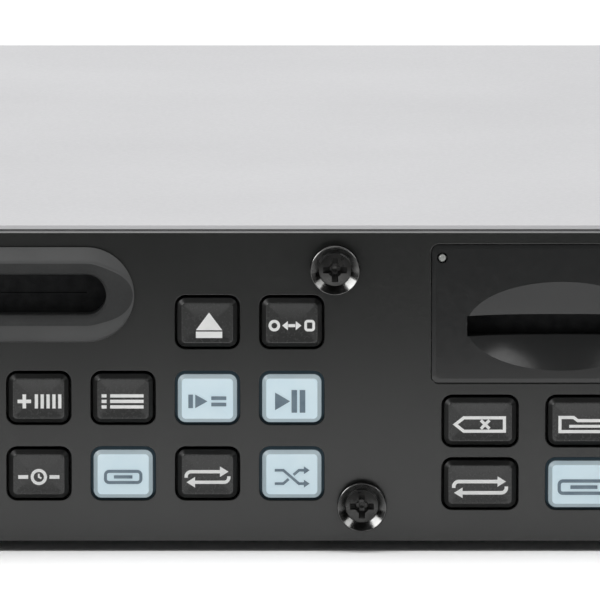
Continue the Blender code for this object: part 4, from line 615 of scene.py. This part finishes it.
# every mark is a list of shapes, each an outline and its holes
icons = {
    "eject": [[tri(0.25, 0.6, 3.7, 2.5, "up")], [bar(0.25, -1.3, 3.7, 0.9)]],
    "source": [ring(-2.45, 0, 0.82, 0.4), [tri(-0.95, 0, 0.8, 1.3, "left")], [bar(0, 0, 1.0, 0.42)],
               [tri(0.95, 0, 0.8, 1.3)], frameOf(2.5, 0, 1.5, 1.64, 0.38, 0.3)],
    "play": [[tri(-1.3, 0, 2.1, 2.5)], [bar(0.35, 0, 0.78, 3.2)], [bar(1.5, 0, 0.78, 3.2)]],
    "shuffle": [[stroke([(-2.4, 0.95), (-1.2, 0.95), (1.0, -0.95), (1.7, -0.95)], 0.36)],
                [stroke([(-2.4, -0.95), (-1.2, -0.95), (-0.45, -0.3)], 0.36)],
                [stroke([(0.25, 0.3), (1.0, 0.95), (1.7, 0.95)], 0.36)],
                [tri(2.1, 0.95, 0.8, 1.1)], [tri(2.1, -0.95, 0.8, 1.1)]],
    "time": [ring(0, 0, 1.15, 0.72), [stroke([(0, 0.46), (0, 0), (0.36, -0.2)], 0.26)], [bar(-2.2, 0, 1.4, 0.52)],
             [bar(2.2, 0, 1.4, 0.52)]],
    "plus_ten": [[bar(-2.0, 0, 1.9, 0.5)], [bar(-2.0, 0.62, 0.5, 0.74)], [bar(-2.0, -0.62, 0.5, 0.74)]] + [
        [bar(-0.3 + 0.82 * i, 0, 0.46, 2.0)] for i in range(5)],
    "single": [frameOf(0, 0, 5.4, 2.0, 0.42, 0.5), [bar(0, 0, 2.6, 0.45)]],
    "program": [[bar(0.55, 0.78 - 0.78 * i, 4.7, 0.46)] for i in range(3)] + [
        [bar(-2.65, 0.78 - 0.78 * i, 0.7, 0.46)] for i in range(3)],
    "repeat": loop(6.0, 1.5, 0.46),
    "cue": [[bar(-2.35, 0, 0.65, 1.9)], [tri(-0.85, 0, 1.7, 1.9)], [bar(1.6, 0.45, 2.1, 0.5)],
            [bar(1.6, -0.45, 2.1, 0.5)]],
    "skip_back": [[tri(-0.45, 0, 1.8, 2.1, "left")], [tri(1.45, 0, 1.8, 2.1, "left")], [bar(-1.8, 0, 0.6, 2.1)]],
    "skip_forward": [[tri(-1.45, 0, 1.8, 2.1)], [tri(0.45, 0, 1.8, 2.1)], [bar(1.8, 0, 0.6, 2.1)]],
    "card_repeat": loop(7.4, 1.6, 0.5),
    "card_delete": [band([(-2.3, 0.95), (3.4, 0.95), (3.4, -0.95), (-2.3, -0.95), (-3.5, 0)], 0.44),
                    [cross(0.7, 0, 1.7, 0.42)]],
    "card_single": [frameOf(0, 0, 7.4, 2.2, 0.46, 0.5), [bar(0, 0, 3.8, 0.5)]],
    "card_folder": [band([(-3.4, -1.0), (-3.4, 1.0), (-1.5, 1.0), (-0.9, 0.55), (3.4, 0.55), (3.4, -1.0)], 0.44),
                    [bar(0.2, -0.25, 4.6, 0.4)]],
    "card_stop": [[bar(0, 0, 2.1, 2.1)]],
    "card_record": [[dot(1.15, 0, 0)]],
    "card_play": [[tri(0, 0, 2.2, 2.5)]],
    "card_pause": [[bar(-0.65, 0, 0.8, 2.4)], [bar(0.65, 0, 0.8, 2.4)]],
}
markLook = {"down": 0.38 * mm, "thick": 0.1 * mm, "proud": 0.005 * mm}


def markShape(shapes, x, z, front):
    made = bmesh.new()
    for outlines in shapes:
        scaled = [[(x + u * mm, z + v * mm) for u, v in points] for points in outlines]
        join(made, flatShape(scaled, markLook["thick"], 0.0, front - markLook["proud"]))
    return made


for name in discKeys + cardKeys:
    x, z, width, height = keyCap(name)
    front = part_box(name + "_key")[0].y
    mark = markShape(icons[name], x, z - markLook["down"], front)
    makePiece(name + "_mark", mark, "markBlue" if name in litKeys else "markWhite", name + "_key")
print("marks")


# card slot insert: flush with the panel, with a finger scoop round its slot

cardLook = {"corner": 0.9 * mm, "bevel": 0.6 * mm, "grow": 0.2 * mm, "rimDown": 0.16 * mm, "sunk": 0.01 * mm,
            "slot": (26.5 * mm, 2.9 * mm), "slotDown": 1.75 * mm, "scoop": (26.7 * mm, 2.6 * mm, 12.6 * mm),
            "bowl": 1.35, "ends": (3, 0.85), "sections": 80, "points": 16, "step": 1.0 * mm, "boxFront": 1.5 * mm,
            "depth": 7.0 * mm, "lampHole": 0.75 * mm, "flap": 5.0 * mm, "flapThick": 0.6 * mm,
            "earHeight": 8.0 * mm, "earThick": 1.2 * mm, "before": 5 * mm, "behind": 12 * mm}


def fingerScoop(x, z):
    # cross sections along the slot, all as deep but at the ends
    wide, deep, tall = cardLook["scoop"]
    power, ease = cardLook["ends"]
    count, before = cardLook["points"], cardLook["before"]
    scoop = bmesh.new()
    rings = []
    for step in range(cardLook["sections"] + 1):
        share = -0.9995 * math.cos(math.pi * step / cardLook["sections"])
        reach = math.sqrt(1 - share * share) * tall / 2
        depth = deep * (1 - abs(share) ** power) ** ease
        bowl = [(reach * t / count, depth * (1 - (abs(t) / count) ** cardLook["bowl"]))
                for t in range(count, -count - 1, -1)]
        ring = [(reach, -before)] + bowl + [(-reach, -before)]
        rings.append([scoop.verts.new((x + share * wide / 2, faceY + y, z + up)) for up, y in ring])
    return bridge(scoop, rings)


def slotBlock(x, z, start, end):
    # a block as wide and high as the card slot, between two depths
    wide, high = cardLook["slot"]
    return blockShape((x - wide / 2, faceY + start, z - high / 2), (x + wide / 2, faceY + end, z + high / 2))


def cardInsert():
    middle, size = boxOf("card_slot_plate")
    width, height = size.x - 2 * plateEar, size.z
    x, z = middle.x, middle.z
    slotZ = z - cardLook["slotDown"]
    grow, bevel = 2 * cardLook["grow"], 2 * cardLook["bevel"]
    outer = plate(width + grow, height + grow, cardLook["corner"])
    inner = plate(width + grow - bevel, height + grow - bevel, cardLook["corner"])
    insert = layered([(outer, panelBack), (outer, faceY + cardLook["rimDown"]),
                      (inner, faceY + cardLook["sunk"])], x, z)
    step = cardLook["step"]
    back = blockShape((x - width / 2 + step, faceY + cardLook["boxFront"], z - height / 2 + step),
                      (x + width / 2 - step, faceY + cardLook["depth"], z + height / 2 - step))
    earFront = panelBack + sheetGap
    ears = blockShape((x - size.x / 2, earFront, z - cardLook["earHeight"] / 2),
                      (x + size.x / 2, earFront + cardLook["earThick"], z + cardLook["earHeight"] / 2))
    insert = carve(insert, back, ears, mode="UNION")
    scoop = fingerScoop(x, slotZ)
    slot = slotBlock(x, slotZ, -cardLook["before"], cardLook["behind"])
    lamp = boxOf("card_lamp")[0]
    reach, start, end = cardLook["lampHole"], -cardLook["before"], cardLook["behind"]
    hole = turnedShape([(0, start), (reach, start), (reach, end), (0, end)], (lamp.x, faceY, lamp.z), steps=32)
    return carve(insert, scoop, slot, hole)


makePiece("card_insert", cardInsert(), "plateGloss", "casing", ["card_slot_plate"], sharp=12)

# painted shade: a dark felt flap behind the card slot, where only shade shows
middle = boxOf("card_slot_plate")[0]
front = cardLook["flap"]
flap = slotBlock(middle.x, middle.z - cardLook["slotDown"], front, front + cardLook["flapThick"])
makePiece("card_slot_shade_flap", flap, "feltSlotShade")

lampLook = {"dome": ((0, 0), (0.45, 0.04), (0.8, 0.15), (1, 0.35))}  # shares of the radius, millimetres back
middle, size = boxOf("card_lamp")
rim = size.x / 2
profile = [(rim * share, back * mm) for share, back in lampLook["dome"]] + [(rim, size.y), (0, size.y)]
lamp = turnedShape(profile, (middle.x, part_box("card_lamp")[0].y, middle.z), steps=32)
makePiece("card_lamp_dome", lamp, "lampClear", "casing", ["card_lamp"])
print("card slot")


# panel screws: a dark cross-head screw sunk in a bright cup washer

screwLook = {"crest": 3.34 * mm, "seat": 2.3 * mm, "sink": 0.9 * mm, "crown": 0.3 * mm, "crownDown": 0.1 * mm,
             "fit": 0.03 * mm, "crownSteps": 8, "soft": 0.05 * mm, "shaft": 1.75 * mm, "tip": (0.8 * mm, 1.2 * mm),
             "crestRound": ((-0.04, 0.03), (-0.02, 0.01), (0.0, 0.0), (0.03, 0.01)),
             "rimRound": ((-0.04, 0.12), (0.0, 0.25)), "armLong": 3.4 * mm, "armWide": 0.9 * mm,
             "armDeep": 1.3 * mm, "armRound": 0.1 * mm, "taper": (0.45, 0.8), "core": 1.0 * mm,
             "coreEnd": ((0.4, 1.02), (0.0, 1.15)), "before": 1.0 * mm}


def cupShape(place, radius, rise):
    seat, sink, soft = screwLook["seat"], screwLook["sink"], screwLook["soft"]
    profile = [(seat, sink), (seat + soft, sink - soft)]
    profile += [(screwLook["crest"] + out * mm, back * mm) for out, back in screwLook["crestRound"]]
    profile += [(radius + out * mm, back * mm) for out, back in screwLook["rimRound"]]
    return turnedShape(profile + [(radius, rise), (seat, rise), (seat, sink)], place, steps=96)


def screwShape(place, rise, length):
    seat, sink = screwLook["seat"] - screwLook["fit"], screwLook["sink"]
    shaft, (tipLong, tip) = screwLook["shaft"], screwLook["tip"]
    profile = []
    for step in range(screwLook["crownSteps"] + 1):
        share = step / screwLook["crownSteps"]
        profile.append((seat * share, sink + screwLook["crownDown"] - screwLook["crown"] * (1 - share ** 2)))
    profile += [(seat, rise), (shaft, rise), (shaft, length - tipLong), (tip, length), (0, length)]
    screw = turnedShape(profile, place, steps=64)
    long, wide, deep = screwLook["armLong"], screwLook["armWide"], screwLook["armDeep"]
    lengthways, sideways = screwLook["taper"]
    corner, before = screwLook["armRound"], screwLook["before"]
    front = place[1] + sink
    arms = []
    for across, up in ((long, wide), (wide, long)):
        near = plate(across, up, corner, steps=3)
        far = plate(across * (lengthways if across > up else sideways),
                    up * (lengthways if up > across else sideways), corner * sideways, steps=3)
        arms.append(layered([(near, front - before), (near, front), (far, front + deep)], place[0], place[2]))
    core = screwLook["core"]
    profile = [(0, -before), (core, -before), (core, 0)]
    profile += [(core * out, deep * down) for out, down in screwLook["coreEnd"]]
    arms.append(turnedShape(profile, (place[0], front, place[2]), steps=32))
    return carve(screw, *arms)


for name in screws:
    middle, size = boxOf(name)
    place = (middle.x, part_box(name)[0].y, middle.z)
    rise = faceY - sheetGap - place[1]
    makePiece(name + "_cup", cupShape(place, size.x / 2, rise), "screwChrome", "casing", [name])
    makePiece(name + "_head", screwShape(place, rise, size.y), "screwDark", "casing", [name])
print("screws")


# display windows

lensLook = {"edge": 0.15 * mm, "fit": 0.3 * mm, "back": 0.2 * mm, "lipThick": 1.0 * mm, "lipEdge": 0.1 * mm}
for name in ("disc_display_lens", "card_display_lens"):
    middle, size = boxOf(name)
    low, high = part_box(name)
    less, lipThick = 2 * (lensLip + lensLook["fit"]), lensLook["lipThick"]
    inner, outer = (plate(size.x - part, size.z - part, panelLook["windowCorner"], middle.x, middle.z)
                    for part in (less, 0))
    pane = flatShape([inner], size.y - lensLook["back"], lensLook["edge"], low.y)
    lip = flatShape([outer], lipThick, lensLook["lipEdge"], high.y - lipThick)
    makePiece(name + "_pane", carve(pane, lip, mode="UNION"), "lensSmoke", "casing", [name])


# level knob with a fluted grip, a pointer and a scale on the panel

knobLook = {"flutes": 40, "flute": 0.22 * mm, "flutePoints": 6, "grip": 0.93, "skirt": 2.6 * mm, "clear": 0.5 * mm,
            "stem": 3.0 * mm, "pointer": (0.9 * mm, 3.9 * mm, 3.0 * mm), "pointerThick": 0.1 * mm,
            "ticks": 11, "swing": 150, "tickGap": 1.8 * mm, "tickLong": 1.5 * mm, "tickWide": 0.35 * mm,
            "tickThick": 0.04 * mm, "tickProud": 0.02 * mm,
            # which radius, how far out, share of the flutes' depth, which face, how far back
            "profile": (("grip", -3.0, 0, "front", 0.02), ("grip", -1.6, 0, "front", 0.02),
                        ("grip", -0.9, 0, "front", 0.1), ("grip", -0.45, 0.3, "front", 0.42),
                        ("grip", -0.25, 1, "front", 0.9), ("grip", 0, 1, "front", 1.6),
                        ("grip", 0, 1, "skirt", -0.5), ("grip", -0.22, 0, "skirt", -0.1),
                        ("skirt", -0.35, 0, "skirt", 0), ("skirt", 0, 0, "skirt", 0.35),
                        ("skirt", 0, 0, "back", -0.2), ("skirt", -0.2, 0, "back", 0),
                        ("stem", 0, 0, "back", 0), ("stem", 0, 0, "end", 0))}


def fluted(radius, depth):
    count = knobLook["flutes"] * knobLook["flutePoints"]
    points = []
    for i in range(count):
        turn = 2 * math.pi * i / count
        r = radius - depth * (0.5 - 0.5 * math.cos(turn * knobLook["flutes"]))
        points.append((r * math.cos(turn), r * math.sin(turn)))
    return points


middle, size = boxOf("level_knob")
low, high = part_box("level_knob")
radius = size.x / 2
knobBack = faceY - knobLook["clear"]
radii = {"grip": radius * knobLook["grip"], "skirt": radius, "stem": knobLook["stem"]}
faces = {"front": low.y, "skirt": knobBack - knobLook["skirt"], "back": knobBack, "end": high.y}
layers = [(fluted(radii[rim] + out * mm, knobLook["flute"] * share), faces[face] + back * mm)
          for rim, out, share, face, back in knobLook["profile"]]
makePiece("level_knob_grip", layered(layers, middle.x, middle.z), "blackPlastic", "level_knob",
          ["level_knob"], sharp=40)
wide, long, up = knobLook["pointer"]
mark = flatShape([plate(wide, long, wide * 0.45, middle.x, middle.z + up)], knobLook["pointerThick"], 0, low.y)
makePiece("level_knob_pointer", mark, "markWhite", "level_knob")
ticks = []
for i in range(knobLook["ticks"]):
    turn = math.radians(90 - knobLook["swing"] + 2 * knobLook["swing"] * i / (knobLook["ticks"] - 1))
    start = radius + knobLook["tickGap"]
    way = Vector((math.cos(turn), math.sin(turn)))
    centre = Vector((middle.x, middle.z))
    ticks.append(stroke([centre + way * start, centre + way * (start + knobLook["tickLong"])],
                        knobLook["tickWide"]))
scale = flatShape(ticks, knobLook["tickThick"], 0, faceY - knobLook["tickProud"])
makePiece("level_scale", scale, "markWhite")


# power button with a ring-and-bar symbol

buttonLook = {"edge": 0.5 * mm, "rounding": ((-1.4, 0), (-0.5, 0.15), (-0.15, 0.5), (0, 1.4)), "stem": 2.0 * mm,
              "stemLong": 10 * mm, "arc": (0, 0, 1.35, 0.35, -235, 55, 28), "bar": (0, 0.95, 0.38, 1.5)}
middle, size = boxOf("power_button")
low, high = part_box("power_button")
radius, edge, stem = size.x / 2, buttonLook["edge"], buttonLook["stem"]
shoulder = size.y - buttonLook["stemLong"]
profile = [(0, 0)] + [(radius + out * edge, back * edge) for out, back in buttonLook["rounding"]]
profile += [(radius, shoulder), (stem, shoulder), (stem, size.y), (0, size.y)]
makePiece("power_button_cap", turnedShape(profile, (middle.x, low.y, middle.z), steps=64), "blackPlastic",
          "power_button", ["power_button"])
mark = markShape([[arc(*buttonLook["arc"])], [bar(*buttonLook["bar"])]], middle.x, middle.z, low.y)
makePiece("power_button_mark", mark, "markWhite", "power_button")
print("knob and button")


def caseScrew(name, place, way, profile, arm, span):
    # a cross-head screw that holds a sheet, its profile in millimetres
    spot, way = Vector(place), Vector(way)
    screw = turnedShape([(out * mm, along * mm) for out, along in profile], spot, way)
    start, end = (depth * mm for depth in span)
    facing = Vector([abs(part) for part in way])
    across = Vector((facing.y, facing.x, 0))
    core = spot + way * (start + end) / 2
    arms = []
    for wide, tall in (arm, arm[::-1]):
        reach = facing * (end - start) / 2 + across * wide * mm + Vector((0, 0, tall * mm))
        arms.append(blockShape(core - reach, core + reach))
    makePiece(name, carve(screw, *arms), "screwChrome")


# top cover: one folded sheet with round bends, held by screws at its sides

coverLook = {"bend": 1.4 * mm, "sheet": 1.0 * mm, "edge": 0.45 * mm, "screwsAlong": (0.1, 0.5, 0.9),
             "screw": ((0, 1.25), (1.5, 1.15), (2.55, 0.8), (3.0, 0.4), (3.0, 0), (1.5, 0), (1.5, -3), (0, -3)),
             "arm": (1.7, 0.45), "armSpan": (0.4, 1.6)}
low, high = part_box("top_cover")
bend, sheet = coverLook["bend"], coverLook["sheet"]
path = [(low.x, low.z), (low.x + sheet, low.z), (low.x + sheet, high.z - sheet), (high.x - sheet, high.z - sheet),
        (high.x - sheet, low.z), (high.x, low.z), (high.x, high.z), (low.x, high.z)]
radii = [0, 0, bend - sheet, bend - sheet, 0, 0, bend, bend]
cover = flatShape([roundCorners(path, radii)], high.y - low.y, coverLook["edge"], low.y, rings=0)
makePiece("folded_cover", cover, "coverPaint", "casing", ["top_cover"], sharp=25)
for side, edgeX, sideName in ((-1, low.x, "left"), (1, high.x, "right")):
    for i, share in enumerate(coverLook["screwsAlong"]):
        place = (edgeX, low.y + (high.y - low.y) * share, (low.z + high.z) / 2)
        caseScrew(f"cover_screw_{sideName}_{i + 1}", place, (side, 0, 0), coverLook["screw"], coverLook["arm"],
                  coverLook["armSpan"])


# feet

footLook = {"edge": 0.35 * mm, "hollow": 2.2 * mm, "hollowDeep": 0.5 * mm, "slope": 0.3 * mm, "tall": 1.5 * mm,
            "stem": 1.5 * mm, "tip": (0.4 * mm, 1.1 * mm)}
for name in ("foot_front_left", "foot_front_right", "foot_rear_left", "foot_rear_right"):
    middle, size = boxOf(name)
    radius, edge, tall, stem = size.x / 2, footLook["edge"], footLook["tall"], footLook["stem"]
    hollow, deep, (tipLong, tip) = footLook["hollow"], footLook["hollowDeep"], footLook["tip"]
    profile = [(0, deep), (hollow, deep), (hollow + footLook["slope"], 0), (radius - edge, 0),
               (radius - edge * 0.3, edge * 0.3), (radius, edge), (radius, tall), (stem, tall),
               (stem, size.z - tipLong), (tip, size.z), (0, size.z)]
    foot = turnedShape(profile, (middle.x, middle.y, 0), (0, 0, 1), 64)
    makePiece(name + "_pad", foot, "footRubber", "casing", [name])
print("cover and feet")


# back: a collar round each jack, a bare rating plate and four screws

backLook = {"jackApart": 7 * mm,
            "collar": ((4.25, 0.1), (6.3, 0.1), (6.3, 0.9), (6.0, 1.2), (4.25, 1.2), (4.25, 0.1)),
            "rating": (56 * mm, 20 * mm, 1.5 * mm, -60 * mm, 23 * mm), "ratingThick": 0.2 * mm,
            "ratingEdge": 0.05 * mm, "screwX": (-200 * mm, -110 * mm, -10 * mm, 120 * mm), "screwZ": 8 * mm,
            "screw": ((0, 1.1), (1.5, 1.0), (2.4, 0.75), (2.9, 0.35), (2.9, 0), (0, 0)),
            "arm": (1.7, 0.42), "armSpan": (0.45, 3)}
middle, size = boxOf("line_jacks")
for side, name, look in ((-1, "right", "collarRed"), (1, "left", "collarWhite")):
    place = (middle.x + side * backLook["jackApart"], caseBack, middle.z)
    profile = [(out * mm, back * mm) for out, back in backLook["collar"]]
    makePiece(f"jack_collar_{name}", turnedShape(profile, place), look)
rating = flatShape([plate(*backLook["rating"])], backLook["ratingThick"], backLook["ratingEdge"], caseBack)
makePiece("rating_plate", rating, "ratingPlate")
for i, x in enumerate(backLook["screwX"]):
    caseScrew(f"back_screw_{i + 1}", (x, caseBack, backLook["screwZ"]), (0, 1, 0), backLook["screw"],
              backLook["arm"], backLook["armSpan"])


# the pieces that keep the shape of the CAD

kept = (("zincPlate", "zinc_sheet", ("chassis_tray", "drive_frame", "clamp_plate")),
        ("brightSteel", "bright_steel",
         ("card_socket", "guide_rod", "lead_screw", "spindle_motor", "loading_motor")),
        ("ribbonGrey", "ribbon_grey", ("ribbon_cable",)), ("footRubber", "foot_rubber", ("feed_roller",)),
        ("displayGlass", "display_black", ("disc_display", "card_display")))
boards = ["main_board", "power_board", "disc_key_board", "card_key_board"]
boardLook = {"blend": 0.1 * mm, "patch": 0.003, "grain": (0.0005, 1e-5, (0.3, 0.45)),
             "board": ((0.012, 0.085, 0.035), (0.02, 0.13, 0.05)),
             "parts": ((0.02, 0.021, 0.023), (0.05, 0.05, 0.052))}


def boardFinish(name):
    # green where the board's own sheet lies, dark where parts stand on it
    low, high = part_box(name)
    upright = name.endswith("key_board")
    made, tree, shader = startMaterial(name + "Finish")
    place = shaderNode(tree, "TexCoord").outputs["Object"]
    depth = shaderNode(tree, "SeparateXYZ", {"Vector": place}).outputs["Y" if upright else "Z"]
    thick, blend = boardThick, boardLook["blend"]
    first, second = (high.y - thick - blend, high.y - thick) if upright else (low.z + thick, low.z + thick + blend)
    share = shaderNode(tree, "MapRange", {"Value": depth, "From Min": first, "From Max": second}).outputs["Result"]
    patches = spread(tree, noiseAt(tree, place, boardLook["patch"]), 0, 1)
    board, parts = (blendColours(tree, patches, *boardLook[key]) for key in ("board", "parts"))
    colour = blendColours(tree, share, *((parts, board) if upright else (board, parts)))
    tree.links.new(colour, shader.inputs["Base Color"])
    addGrain(tree, shader, place, *boardLook["grain"])
    return made


for node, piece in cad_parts.items():
    look, slot = finishes["blackPlastic"], "black_plastic"
    for name, slotName, nodes in kept:
        if node in nodes:
            look, slot = finishes[name], slotName
    if node in boards:
        look, slot = boardFinish(node), "board_green"
    piece.data.materials.clear()
    piece.data.materials.append(look)
print("kept pieces")


# surroundings: a white floor, a soft light over the cover and a dark card that only reflections see

def stagePiece(name, wide, near, far, colour, glow=0.0):
    # a sheet from its near edge to its far edge, each given by its Y and Z
    mesh = bpy.data.meshes.new(name)
    mesh.from_pydata([(-wide, *near), (wide, *near), (wide, *far), (-wide, *far)], [], [(0, 1, 2, 3)])
    made, _, shader = startMaterial(name)
    shader.inputs["Base Color"].default_value = (*colour, 1)
    shader.inputs["Roughness"].default_value = 0.9
    shader.inputs["Specular IOR Level"].default_value = 0
    shader.inputs["Emission Color"].default_value = (1, 1, 1, 1)
    shader.inputs["Emission Strength"].default_value = glow
    mesh.materials.append(made)
    piece = placed(name, mesh)
    return piece


stageLook = {"floor": (0.94, 0.94, 0.94), "floorReach": 4, "paintedLightStrip": (0.26, 0.05, 0.0001), "paintedLightGlow": 0.14,
             "card": (0.01, 0.01, 0.01), "cardAway": 0.17, "cardWide": 2, "cardLow": 0.001, "cardTall": 3.0,
             "skyFill": 0.3, "skySeen": 1.0,
             "above": ((0, 0.08, 1.6), 2.6, 1.6, 42.0), "glintsAt": (0.045, 0.03),
             "glints": {"screws_left": (-0.138, 0.055, 0.155, 0.13, 0.11, 0.33),
                        "screws_right": (0.202, 0.059, 0.165, 0.07, 0.07, 0.06),
                        "scoop_left": (-0.022, 0.147, 0.216, 0.09, 0.05, 0.04),
                        "scoop_right": (0.145, 0.147, 0.216, 0.09, 0.05, 0.035)}}
reach = stageLook["floorReach"]
stagePiece("floor", reach, (-reach, 0), (reach, 0), stageLook["floor"])
# the floor before the panel is as good as burnt out in the photograph
# painted light: a glowing strip on the floor before the panel lights away the panel's shadow there
wide, reach, lift = stageLook["paintedLightStrip"]
paintedLight = stagePiece("painted_light_floor", wide, (faceY - reach, lift), (faceY, lift), stageLook["floor"],
                    stageLook["paintedLightGlow"])
paintedLight.visible_diffuse = False
paintedLight.visible_glossy = False
paintedLight.visible_shadow = False
cardY, low, tall = faceY - stageLook["cardAway"], stageLook["cardLow"], stageLook["cardTall"]
card = stagePiece("dark_card", stageLook["cardWide"], (cardY, low), (cardY, tall), stageLook["card"])
card.visible_camera = False
card.visible_diffuse = False
card.visible_shadow = False
card.visible_transmission = False

world = bpy.data.worlds.new("studio")
bpy.context.scene.world = world
world.use_nodes = True
tree = world.node_tree
sky = tree.nodes["Background"]
sky.inputs["Color"].default_value = (1.0, 1.0, 1.0, 1)
rays = shaderNode(tree, "LightPath")
seen = shaderNode(tree, "Math", {0: rays.outputs["Is Camera Ray"], 1: rays.outputs["Is Glossy Ray"]},
                  operation="MAXIMUM").outputs[0]
seen = shaderNode(tree, "Math", {0: seen, 1: rays.outputs["Is Transmission Ray"]}, operation="MAXIMUM").outputs[0]
level = shaderNode(tree, "MapRange", {"Value": seen, "To Min": stageLook["skyFill"],
                                      "To Max": stageLook["skySeen"]})
tree.links.new(level.outputs["Result"], sky.inputs["Strength"])


def softbox(name, place, turn, width, depth, power):
    light = bpy.data.lights.new(name, "AREA")
    light.shape = "RECTANGLE"
    light.size, light.size_y = width, depth
    light.energy = power
    lamp = placed(name, light)
    lamp.location = place
    lamp.rotation_euler = turn
    return lamp


place, width, depth, power = stageLook["above"]
above = softbox("box_above", place, (0, 0, 0), width, depth, power)
above.visible_glossy = False
aimX, aimZ = stageLook["glintsAt"]
for name, (x, away, high, width, depth, power) in stageLook["glints"].items():
    # small boxes before the panel that show only as glints
    place = Vector((x, faceY - away, high))
    turn = (place - Vector((aimX, faceY, aimZ))).to_track_quat("Z", "Y").to_euler()
    glint = softbox("glint_" + name, place, turn, width, depth, power)
    glint.visible_diffuse = False

cameraLook = {"sensor": 36, "lens": 522.16, "clip": (0.05, 50), "x": 0.027, "away": 1.2102, "high": 0.1949,
              "down": 7.493}
eye = bpy.data.cameras.new("camera")
eye.sensor_width, eye.lens = cameraLook["sensor"], cameraLook["lens"]
eye.clip_start, eye.clip_end = cameraLook["clip"]
camera = placed("camera", eye)
camera.location = (cameraLook["x"], faceY - cameraLook["away"], cameraLook["high"])
camera.rotation_euler = (math.radians(90 - cameraLook["down"]), 0, 0)
bpy.context.scene.camera = camera
bpy.context.scene.view_settings.view_transform = "Standard"
